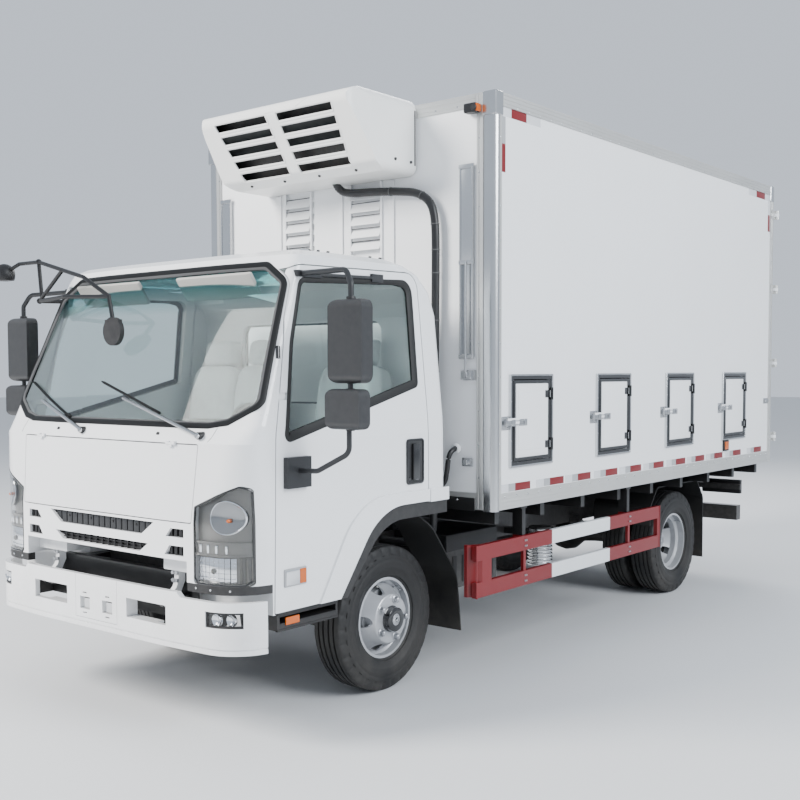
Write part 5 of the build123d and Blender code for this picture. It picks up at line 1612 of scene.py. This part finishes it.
    def _small(self) -> None:
        """Roof lamp, roof plugs, sill steps' ribs and bolts of the dark strips."""
        lamp = Shape().lathe([(-0.03, 0.0), (-0.026, 0.012), (-0.016, 0.021), (0.0, 0.0255), (0.018, 0.0265),
                              (0.026, 0.024)], self.roof_lamp, "Y", 32)
        lamp.make("roof_lamp_cover", "chrome", CAB)
        black = Shape().lathe([(0.022, 0.0), (0.022, 0.0272), (0.034, 0.0272), (0.044, 0.02), (0.048, 0.0)],
                              self.roof_lamp, "Y", 32)
        black.make("roof_lamp_base", "gloss_black", CAB)
        body = Skin("cab_body")
        spots = [body.footing((side * 0.83, off(y), 3.0), (0, 0, -1)) for side in (1, -1)
                 for y in (-0.51, -0.44, -0.12, -0.04)]
        FastenerRow(Stud.ROUND).set("roof_plugs", spots, 0.0085, 0.008, "black_plastic", CAB)
        strip = Skin("cab_trims")
        spots = [strip.footing((x, AHEAD_Y, 0.716), (0, 1, 0))
                 for x in (0.7, 0.79, 0.88, -0.7, -0.79, -0.88)]
        FastenerRow(Stud.ROUND).set("strip_screws", spots, 0.0062, 0.004, "stainless", CAB)
        ribs = Shape()
        for k in range(9):
            y = off(-0.925 + 0.043 * k)
            ribs.box((0.836, y, 0.5915), (0.97, y + 0.014, 0.5955), 0.0015)
        for z0, z1 in ((0.508, 0.52), (0.583, 0.596)):
            ribs.box((0.962, off(-0.956), z0), (0.98, off(-0.546), z1), 0.003)
        ribs.mirrored().make("step_ribs", "black_plastic", CAB)
        amber = Shape().box((0.974, off(-0.905), 0.533), (0.983, off(-0.815), 0.569), 0.004)
        amber.mirrored().make("sill_reflectors", "lamp_amber", CAB)
        bolts = [((s * x, off(-1.13), z), (0, -1, 0)) for s in (1, -1) for x in (0.466, 0.494)
                 for z in (0.716, 0.752)]
        FastenerRow(Stud.HEX).set("tilt_bolts", bolts, 0.01, 0.01, "zinc", CAB)

    def _door(self, side: int, word: str) -> None:
        """Window rubber, handle, mirror glass and repeater of one door.

        Args:
            side: 1 for left, -1 for right.
            word: The side's name.
        """
        body = f"door_{word}_body"
        skin = Skin("door_left", "door_glass_left")
        flat = along(outward(rounded(tuple((off(y), z, r) for y, z, r in self.window)), 0.008), 0.022)
        path, normals = skin.aside(flat)
        wide = [1.9 if p.y > off(0.04) or p.z < 1.4 + 0.246 * (p.y - off(-0.895)) else 1.0 for p in path]
        count = len(wide)
        wide = [sum(wide[(i + k) % count] for k in range(-2, 3)) / 5 for i in range(count)]
        rubber = Shape().bead(
            path, normals, ((-0.006, -0.004), (-0.006, 0.002), (-0.001, 0.0045), (0.013, 0.004),
                            (0.02, -0.001),
                            (0.021, -0.013)), toward=Vector((0.97, off(-0.38), 1.8)), widths=wide)
        rubber.make(f"window_rubber_{word}", "black_rubber", body, side=side)
        frame = Shape()
        rows = oblong(off(-0.02), off(0.126), 1.104, 1.342, 0.02)
        inner = outward(rows, -0.014)
        rails = [[(x, a, b) for a, b in row] for row, x in
                 ((rows, 0.974), (rows, 0.9905), (outward(rows, -0.0025), 0.9935), (outward(rows, -0.0115),
                                                                                    0.9935),
                  (inner, 0.988), (inner, 0.974), (rows, 0.974))]
        frame.strip(rails)
        frame.box((0.988, off(0.018), 1.128), (1.008, off(0.072), 1.318), 0.0085)
        frame.lathe([(0.0, 0.0), (0.004, 0.0), (0.005, 0.01), (0.001, 0.013)], (0.99, off(0.0), 1.13),
                    "X", 24)
        frame.make(f"handle_{word}", "gloss_black", body, side=side)
        glass = Shape()
        for y, z0, z1 in ((-0.757, 1.662, 1.99), (-0.777, 1.456, 1.596)):
            face = oblong(1.205, 1.365, z0, z1, 0.03)
            glass.plate([(x, off(y), z) for x, z in face], (0, -0.006, 0))
        glass.make(f"mirror_glass_{word}", "mirror", body, side=side)
        collars = Shape()
        for z in (2.012, 1.65, 1.606, 1.442):
            y = off(-0.79 if z > 1.63 else -0.797)
            collars.lathe([(-0.012, 0.013), (-0.012, 0.019), (-0.009, 0.021), (0.009, 0.021), (0.012, 0.019),
                           (0.012, 0.013)], (1.285, y, z), "Z", 24)
        collars.box((0.972, off(-0.924), 1.154), (0.984, off(-0.756), 1.312), 0.005)
        collars.make(f"mirror_collars_{word}", "black_plastic", body, side=side)
        lamp = Shape().box((0.98, off(-0.92), 0.71), (0.9945, off(-0.776), 0.792), 0.006)
        lamp.make(f"repeater_rim_{word}", "tape_grey", body, side=side)
        for name, finish, y0, y1 in (("clear", "reflector", -0.914, -0.826), ("amber", "lamp_amber", -0.824,
                                                                              -0.782)):
            cell = Shape().box((0.988, off(y0), 0.717), (0.9985, off(y1), 0.785), 0.005)
            cell.make(f"repeater_{name}_{word}", finish, body, side=side)


@dataclass
class Lamps:
    """Headlamps, fog lamps and rear lamps with their inner parts."""

    x0: float = 0.687
    x1: float = 0.955
    low: float = 0.738
    bowl_x: float = 0.858
    bowl_z: float = 1.042
    fog_z: float = 0.588

    def build(self) -> None:
        """Build front, fog and rear lamps on both sides."""
        skin = Skin("headlamps")
        lens, bezel, bright, amber, bowl = Shape(), Shape(), Shape(), Shape(), Shape()
        for shape, inset, z0, z1, near, far in (
                (lens, 0.0, self.low, None, 0.0005, 0.0035), (bezel, 0.002, self.low + 0.002, None, 0.027,
                                                              0.03),
                (bezel, 0.004, 0.926, 0.932, 0.006, 0.027), (bezel, 0.004, 0.868, 0.876, 0.004, 0.027),
                (bezel, 0.004, 0.738, 0.746, 0.004, 0.027), (bezel, 0.004, 0.876, 0.926, 0.012, 0.025)):
            self._sheet(shape, skin, self.x0 + inset, self.x1 - inset, z0, z1, near, far)
        for k in range(4):
            x = 0.722 + 0.046 * k
            y = skin.meet(x, 0.901).y
            bright.box((x - 0.007, y + 0.007, 0.88), (x + 0.007, y + 0.014, 0.918), 0.003)
        y = skin.meet(self.bowl_x, self.bowl_z).y
        centre = (self.bowl_x, y, self.bowl_z)
        bowl.lathe([(0.024, 0.0), (0.023, 0.022), (0.02, 0.046), (0.014, 0.064), (0.008, 0.072),
                    (0.008, 0.0745), (0.026, 0.0745)], centre, "Y", 40)
        bright.lathe([(0.01, 0.07), (0.006, 0.0745), (0.0085, 0.0775), (0.015, 0.076)], centre, "Y", 40)
        for shape in (bowl, bright):
            for vert in shape.bm.verts:
                if abs(vert.co.x - self.bowl_x) < 0.08 and vert.co.z > 0.96:
                    vert.co.y += self._face(skin, vert.co.x, vert.co.z) - y
        amber.lathe([(0.002, 0.0), (0.004, 0.006), (0.01, 0.009), (0.022, 0.009)], (0.872, y + 0.002, 1.03),
                    "Y", 20)
        self._facets(bright, skin)
        spot = skin.meet(0.795, 0.8).y
        bezel.lathe([(0.004, 0.0), (0.004, 0.008), (0.01, 0.013), (0.02, 0.013)], (0.795, spot, 0.8), "Y", 24)
        for x in (0.912, 0.93, 0.946):
            spot = self._face(skin, x, 0.8)
            bezel.box((x - 0.006, spot + 0.006, 0.748), (x + 0.006, spot + 0.02, 0.864), 0.003)
        glass = lens.mirrored().make("headlamp_lenses", "lens", CAB, angle=60)
        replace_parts(glass, "headlamps")
        bezel.mirrored().make("headlamp_bezels", "smoked_bezel", CAB)
        bright.mirrored().make("headlamp_reflectors", "reflector", CAB)
        amber.mirrored().make("headlamp_bulbs", "lamp_amber", CAB)
        bowl.mirrored().make("headlamp_bowls", "smoked_mirror", CAB)
        edge = [(self.x0 - 0.001, 0.736), (self.x1 + 0.001, 0.736), (self.x1 + 0.001, 1.172), (0.918, 1.185),
                (self.x0 - 0.001, 1.086)]
        path, normals = skin.ahead([(x + (0.003 if x < 0.8 else -0.003), z + (0.003 if z < 0.8 else -0.005))
                                    for x, z in along(edge, 0.02)])
        Shape().bead(path, normals, ((-0.004, -0.008), (-0.004, 0.0005), (0.0, 0.0022), (0.004, 0.0005),
                                     (0.004, -0.008))).mirrored().make("headlamp_seals", "gloss_black", CAB)
        self._fog()
        self._rear()

    def _facets(self, bright: Shape, skin: Skin) -> None:
        """Add the low lamp's reflector of turned facets.

        Args:
            bright: Shape that takes the facets.
            skin: The lamp's surface.
        """
        columns, rows, half, high = 8, 5, 0.0126, 0.0111
        for i in range(columns):
            for j in range(rows):
                x, z = 0.7055 + 0.0255 * i, 0.758 + 0.0225 * j
                spot = self._face(skin, x, z)
                back = self._face(skin, x + 0.0124, z) - self._face(skin, x - 0.0124, z)
                lie = math.atan2(back, 0.0248)
                turn = Matrix.Rotation(lie + math.radians(-14 + 4.0 * i), 4, "Z") @ Matrix.Rotation(
                    math.radians(14 - 7.0 * j), 4, "X")
                bright.box((x - half, spot + 0.015, z - high), (x + half, spot + 0.02, z + high), 0.001, turn)

    def _face(self, skin: Skin, x: float, z: float) -> float:
        """Y of the lamp's face, taken further in where the corner is rounded off.

        Args:
            skin: The lamp's surface.
            x: Place across.
            z: Height.

        Returns:
            The y.
        """
        middle_x, middle_z, step = 0.82, 0.9, 0.03
        for k in range(12):
            spot = skin.meet(x + (middle_x - x) * step * k, z + (middle_z - z) * step * k)
            if spot.y > AHEAD_Y + 0.1:
                break
        return spot.y

    def _top(self, x: float) -> float:
        """Upper edge of the headlamp at x."""
        if x < 0.92:
            return 1.083 + (x - 0.684) / 0.236 * 0.1
        return 1.183 - (x - 0.92) / 0.038 * 0.012

    def _sheet(self, shape: Shape, skin: Skin, x0: float, x1: float, z0: float, z1: float | None, near: float,
               far: float) -> None:
        """Add a curved sheet behind the lamp's face.

        Args:
            shape: Shape that takes the sheet.
            skin: The lamp's surface.
            x0: Inner edge.
            x1: Outer edge.
            z0: Lower edge.
            z1: Upper edge, or none for the lamp's own.
            near: Depth of its front behind the face.
            far: Depth of its back.
        """
        across, up = 16, 10
        grids: tuple[list, list] = ([], [])
        for i in range(across + 1):
            x = x0 + (x1 - x0) * i / across
            top = self._top(x) if z1 is None else z1
            face = [(z, self._face(skin, x, z)) for z in (z0 + (top - z0) * j / up for j in range(up + 1))]
            for grid, depth in zip(grids, (near, far)):
                grid.append([(x, y + depth, z) for z, y in face])
        shape.slab(*grids)

    def _fog(self) -> None:
        """Fog lamps in the bumper."""
        skin = Skin("lamps")
        lens, bright, rim = Shape(), Shape(), Shape()
        path, normals = skin.ahead(along(((0.784, 0.556), (0.941, 0.556), (0.941, 0.62), (0.784, 0.62)),
                                         0.016))
        rim.bead(path, normals, ((-0.004, -0.014), (-0.004, 0.004), (0.001, 0.005), (0.005, 0.003),
                                 (0.005, -0.014)), toward=Vector((0.86, -2.9, self.fog_z)))
        radius = 0.027
        for x in (0.832, 0.895):
            y = skin.meet(x, self.fog_z).y
            bright.lathe([(0.016, 0.0), (0.014, 0.012), (0.008, 0.022), (0.002, radius), (0.018, radius)],
                         (x, y, self.fog_z), "Y", 28)
        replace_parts(rim.mirrored().make("fog_rims", "black_plastic", CHASSIS), "lamps")
        bright.mirrored().make("fog_reflectors", "reflector", CHASSIS)
        front = [[skin.meet(0.786 + 0.01538 * i, 0.558 + 0.012 * j) for j in range(6)] for i in range(11)]
        lens.slab(front, [[p + Vector((0, 0.002, 0)) for p in row] for row in front])
        lens.mirrored().make("fog_lenses", "lens", CHASSIS, angle=60)

    def _rear(self) -> None:
        """Rear lamps with three cells, and a bare number plate."""
        y = BOX_REAR_Y + 0.057 - 0.25
        shell = Shape().box((0.642, y, 0.652), (0.978, y + 0.038, 0.768), 0.01)
        shell.mirrored().make("rear_lamp_shells", "black_plastic", CHASSIS)
        for name, finish, x0, x1 in (("white", "tape_white", 0.652, 0.742), ("red", "lamp_red", 0.748, 0.866),
                                     ("amber", "lamp_amber", 0.872, 0.968)):
            cell = Shape().box((x0, y + 0.032, 0.662), (x1, y + 0.0445, 0.758), 0.006)
            cell.mirrored().make(f"rear_lamp_{name}", finish, CHASSIS)
        plate = Shape().box((-0.22, y - 0.002, 0.575), (0.22, y + 0.003, 0.685), 0.002)
        plate.box((-0.24, y - 0.012, 0.56), (0.24, y - 0.002, 0.7), 0.004)
        plate.make("plate_holder", "tape_white", CHASSIS)


@dataclass
class UnitTrim:
    """Fins, pressed lines, screws and the sleeved hose of the refrigeration unit."""

    route: tuple[Point, ...] = (
        (0.07, 0.47, 2.812), (0.072, 0.492, 2.775), (0.15, 0.497, 2.745), (0.34, 0.5, 2.738), (0.52, 0.505,
                                                                                               2.722),
        (0.66, 0.507, 2.702), (0.75, 0.508, 2.64), (0.779, 0.509, 2.54), (0.782, 0.51, 2.35),
        (0.776, 0.511, 1.9), (0.768, 0.512, 1.3), (0.764, 0.512, 0.9), (0.755, 0.512, 0.76),
        (0.7, 0.512, 0.705), (0.6, 0.512, 0.7), (0.38, 0.512, 0.7))
    rib_radius: float = 0.0245
    groove_radius: float = 0.0225
    sides: int = 14
    ties: tuple[int, ...] = (60, 92, 120, 140, 158, 195, 235, 275, 315)

    def build(self) -> None:
        """Build fins, lines, screws and hose."""
        fins = Shape()
        slope = math.atan2(0.25, -0.374)
        turn = Matrix.Rotation(-(math.pi / 2 - slope) - math.pi, 4, "X")
        for k in range(86):
            x = -0.5355 + 0.0126 * k
            fins.box((x - 0.0008, off(0.181), 2.8), (x + 0.0008, off(0.199), 3.195), 0.0, turn)
        fins.make("cooler_fins", "fin_metal", CHASSIS)
        skin = Skin("unit_housing")
        lines = Shape()
        rows = [Vector(p) for p in ((0.002, 3.158), (0.195, 3.158), (0.275, 3.192))]
        spots = [a.lerp(b, t / 8) for a, b in zip(rows[:-1], rows[1:]) for t in range(9)]
        path, normals = skin.ahead(spots, closed=False)
        keep = [i for i in range(len(path)) if i == 0 or (path[i] - path[i - 1]).length > 1e-4]
        lines.bead([path[i] for i in keep], [normals[i] for i in keep],
                   ((-0.004, -0.003), (-0.002, 0.0022), (0.002, 0.0022), (0.004, -0.003)), closed=False)
        for n in range(5):
            z, reach = 3.128 - 0.066 * n, 0.462 - 0.008 * n
            lip = [(0.038, z + 0.026), (reach + 0.008, z + 0.026), (reach - 0.004, z - 0.026), (0.038,
                                                                                                z - 0.026)]
            lines.bead(*skin.ahead(along(rounded([(*c, 0.01) for c in lip]), 0.02)), ((-0.0055, -0.003),
                                                                                      (-0.003, 0.0026),
                                                                                      (0.003, 0.0026),
                                                                                      (0.0055, -0.003)))
        edge = [(0.612, 2.86), (0.612, 3.17), (0.54, 3.2355), (-0.54, 3.2355), (-0.612, 3.17), (-0.612, 2.86),
                (-0.56, 2.807), (0.56, 2.807)]
        y = BOX_FRONT_Y - 0.012
        ring = [Vector((x * 0.9995, y, z)) for x, z in along(edge, 0.03)]
        lines.mirrored().make("unit_press_lines", "unit_shell", CHASSIS)
        gasket = Shape().bead(ring, [(v - Vector((0, y, 3.02))).normalized() for v in ring],
                              ((-0.006, -0.004), (-0.006, 0.0006), (0.006, 0.0006), (0.006, -0.004)))
        gasket.make("unit_gasket", "black_rubber", CHASSIS)
        screws = [skin.footing((x, off(0.25), 2.6), (0, 0, 1)) for x in (-0.42, -0.14, 0.14, 0.42)]
        screws += [skin.footing((side * 1.0, off(y), 2.875), (-side, 0, 0)) for side in (1, -1)
                   for y in (0.36, 0.5)]
        FastenerRow(Stud.ROUND).set("unit_screws", screws, 0.009, 0.007, "black_plastic", CHASSIS)
        self._hose()

    def _hose(self) -> None:
        """Ribbed sleeve along the hose, with cable ties."""
        path = smooth_path([Vector((x, off(y), z)) for x, y, z in self.route], 420)
        part = bmesh.new()
        rings = []
        for i, spot in enumerate(path):
            run = (path[min(i + 1, len(path) - 1)] - path[max(i - 1, 0)]).normalized()
            side = run.cross(Vector((0, 1, 0))).normalized()
            over = side.cross(run)
            r = self.groove_radius if i % 2 else self.rib_radius
            rings.append([part.verts.new(spot + side * r * math.cos(a) + over * r * math.sin(a))
                          for a in (2 * math.pi * k / self.sides for k in range(self.sides))])
        join_rings(part, rings)
        part.faces.new(rings[0])
        part.faces.new(list(reversed(rings[-1])))
        sleeve = Shape().take(part)
        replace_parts(sleeve.make("unit_hose_sleeve", "hose_black", CHASSIS, angle=80), "unit_hoses")
        ties = Shape()
        for i in self.ties:
            spot, run = path[i], (path[i + 1] - path[i - 1]).normalized()
            ties.sweep([spot - run * 0.0025, spot + run * 0.0025], 0.0262, 20)
            ties.box(tuple(spot + Vector((0.018, -0.01, -0.004))),
                     tuple(spot + Vector((0.032, -0.002, 0.004))), 0.001)
        ties.make("hose_ties", "seal_grey", CHASSIS)


@dataclass
class Interior:
    """Covered seats, instrument hood, centre console and levers."""

    def build(self) -> None:
        """Build the seats and the parts on the dashboard."""
        first = None
        for name, x, half, backs in (("driver", 0.48, 0.235, 1), ("bench", -0.43, 0.395, 2)):
            base = self._cushion((x, off(-0.145), 1.105), (half, 0.25, 0.085), 0.028, 0.0, 3)
            piece = base.make(f"seat_base_{name}", "seat_sheet", CAB, angle=70)
            first = first or piece
            for k in range(backs):
                wide = half / backs - (0.004 if backs > 1 else 0.0)
                middle = x if backs == 1 else x + (k * 2 - 1) * half / 2
                back = self._cushion((middle, off(0.128), 1.44), (wide, 0.062, 0.285), 0.022, 9.5, 5 + k)
                back.make(f"seat_back_{name}_{k + 1}", "seat_sheet", CAB, angle=70)
                rest = self._cushion((middle, off(0.192), 1.8), (0.125, 0.048, 0.075), 0.01, 9.5, 8 + k)
                rest.make(f"head_rest_{name}_{k + 1}", "seat_sheet", CAB, angle=70)
        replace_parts(first, "seats")
        stems = Shape()
        for x in (0.48, -0.6275, -0.2325):
            for dx in (-0.055, 0.055):
                stems.sweep([Vector((x + dx, off(0.165), 1.69)), Vector((x + dx, off(0.19), 1.79))], 0.006,
                            12)
        stems.make("head_rest_stems", "stainless", CAB)
        dark, pale = Shape(), Shape()
        dark.box((0.29, off(-0.99), 1.385), (0.67, off(-0.8), 1.462), 0.03)
        dark.box((-0.15, off(-0.76), 1.06), (0.12, off(-0.69), 1.33), 0.018)
        dark.lathe([(0.0, 0.045), (0.03, 0.04), (0.07, 0.018), (0.075, 0.012), (0.225, 0.01), (0.225, 0.0)],
                   (0.08, off(-0.64), 1.08), "Z", 24)
        dark.lathe([(0.215, 0.0), (0.218, 0.016), (0.24, 0.023), (0.262, 0.02), (0.272, 0.0)],
                   (0.08, off(-0.64), 1.08), "Z", 24)
        for x in (-0.78, -0.12, 0.09, 0.78):
            dark.lathe([(0.0, 0.044), (0.016, 0.044), (0.016, 0.036), (0.006, 0.034), (0.006, 0.0)],
                       (x, off(-0.716), 1.345), "Y", 28)
        pale.box((-0.14, off(-0.692), 1.2), (0.11, off(-0.684), 1.262), 0.003)
        for k in range(4):
            pale.box((-0.125 + 0.06 * k, off(-0.692), 1.12), (-0.08 + 0.06 * k, off(-0.684), 1.15), 0.003)
        pale.box((-0.76, off(-0.76), 1.13), (-0.24, off(-0.712), 1.262), 0.012)
        dark.make("dash_parts", "black_plastic", CAB)
        pale.make("dash_panels", "grey_plastic", CAB)
        visor = Shape()
        for x0, x1 in ((0.15, 0.69), (-0.69, -0.15)):
            visor.box((x0, off(-0.8), 2.04), (x1, off(-0.78), 2.175), 0.009, Matrix.Rotation(0.62, 4, "X"))
        visor.make("sun_visors", "trim_cream", CAB)

    def _cushion(self, centre: Point, half: Point, crown: float, lean: float, seed: int) -> Shape:
        """Crowned closed cushion with the creases of its cover.

        Args:
            centre: Middle of the cushion.
            half: Half sizes.
            crown: How far its faces bulge.
            lean: Lean backwards in degrees.
            seed: Start of the crease pattern.

        Returns:
            The shape.
        """
        part = bmesh.new()
        bmesh.ops.create_cube(part, size=2.0)
        bmesh.ops.subdivide_edges(part, edges=part.edges[:], cuts=26, use_grid_fill=True)
        turn = Matrix.Rotation(-math.radians(lean), 3, "X")
        power = 6.0
        thin = min(range(3), key=lambda i: half[i])
        for vert in part.verts:
            u = vert.co.copy()
            reach = sum(abs(c) ** power for c in u) ** (1 / power)
            u /= reach
            spot = Vector(u[i] * half[i] for i in range(3))
            flat = 1.0
            for i in range(3):
                if i != thin:
                    flat *= max(0.0, 1 - abs(u[i]) ** 2.4)
            crease = noise.fractal(Vector((spot.x * 9 + seed, spot.y * 14, spot.z * 11)), 0.9, 2.1, 4)
            ridge = 1 - abs(noise.noise(Vector((spot.x * 17, spot.y * 13 + seed, spot.z * 19)))) * 2
            spot[thin] += math.copysign(crown * flat, u[thin])
            spot += u.normalized() * (0.0035 * crease + 0.003 * max(0.0, ridge) ** 3)
            vert.co = turn @ spot + Vector(centre)
        return Shape().take(part)


@dataclass
class ChassisTrim:
    """Bolts, straps and covers below the box."""

    hangers: Pair = (0.921, 2.221)
    guard_ends: Pair = (0.42, 2.68)
    tank_straps: Pair = (1.33, 1.8)

    def build(self) -> None:
        """Build guards' bolts and hangers, tank straps, ribs and flaps."""
        black = Shape()
        for y in self.hangers:
            black.box((1.0405, off(y) - 0.0175, 0.744), (1.1075, off(y) + 0.0175, 0.9195), 0.002)
            black.box((1.03, off(y) - 0.032, 0.9), (1.11, off(y) + 0.032, 0.9205), 0.002)
        black.mirrored().make("guard_hangers", "chassis_black", CHASSIS)
        bolts = [((side * 1.12, off(y) + dy, z), (side, 0, 0)) for side in (1, -1) for y in self.hangers
                 for dy in (-0.007, 0.007) for z in (0.481, 0.513, 0.684, 0.716)]
        FastenerRow(Stud.HEX).set("guard_bolts", bolts, 0.0065, 0.006, "zinc", CHASSIS)
        ends = Shape()
        first, last = self.guard_ends
        for y0, y1 in ((off(first), off(first) + 0.01), (off(last) - 0.01, off(last))):
            ends.box((1.1185, y0, 0.452), (1.1225, y1, 0.745), 0.001)
        ends.mirrored().make("guard_end_plates", "guard_paint", CHASSIS)
        straps = Shape()
        for y in self.tank_straps:
            for x0, x1, z0, z1 in ((-0.704, -0.426, 0.397, 0.401), (-0.704, -0.426, 0.759, 0.763),
                                   (-0.704, -0.7, 0.397, 0.763), (-0.43, -0.426, 0.397, 0.763)):
                straps.box((x0, off(y) - 0.022, z0), (x1, off(y) + 0.022, z1), 0.001)
        straps.lathe([(0.0, 0.0), (0.0, 0.045), (0.022, 0.045), (0.026, 0.04), (0.026, 0.0)],
                     (-0.701, off(1.56), 0.665), "X", 28)
        straps.make("tank_straps", "zinc", CHASSIS)
        ribs = Shape()
        rings = []
        for k in range(11):
            z = 0.386 + 0.0235 * k
            rings += [(z, 0.0765), (z + 0.006, 0.0835), (z + 0.014, 0.0835), (z + 0.02, 0.0765)]
        ribs.lathe([(0.384, 0.0), *rings, (0.647, 0.0)], (0.64, off(1.87), 0.0), "Z", 40)
        ribs.make("canister_cover", "stainless", CHASSIS)
        cover = Shape()
        cover.box((0.3735, off(0.636), 0.64), (0.764, off(1.164), 0.742), 0.01)
        for k in range(5):
            cover.box((0.76, off(0.7 + 0.095 * k), 0.45), (0.7645, off(0.74 + 0.095 * k), 0.61), 0.003)
        cover.make("battery_cover", "black_plastic", CHASSIS)


def main() -> None:
    """Load the frame, dress it and stage it."""
    global PAINT
    logging.basicConfig(level=logging.INFO, format="%(message)s")
    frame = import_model()
    NODES.update(frame["nodes"])
    PAINT = Paintbox()
    Studio().build()
    Cladding().dress()
    for assembly in (Wheels, BoxTrim, CabTrim, Lamps, UnitTrim, Interior, ChassisTrim):
        assembly().build()


if __name__ == "__main__":
    main()
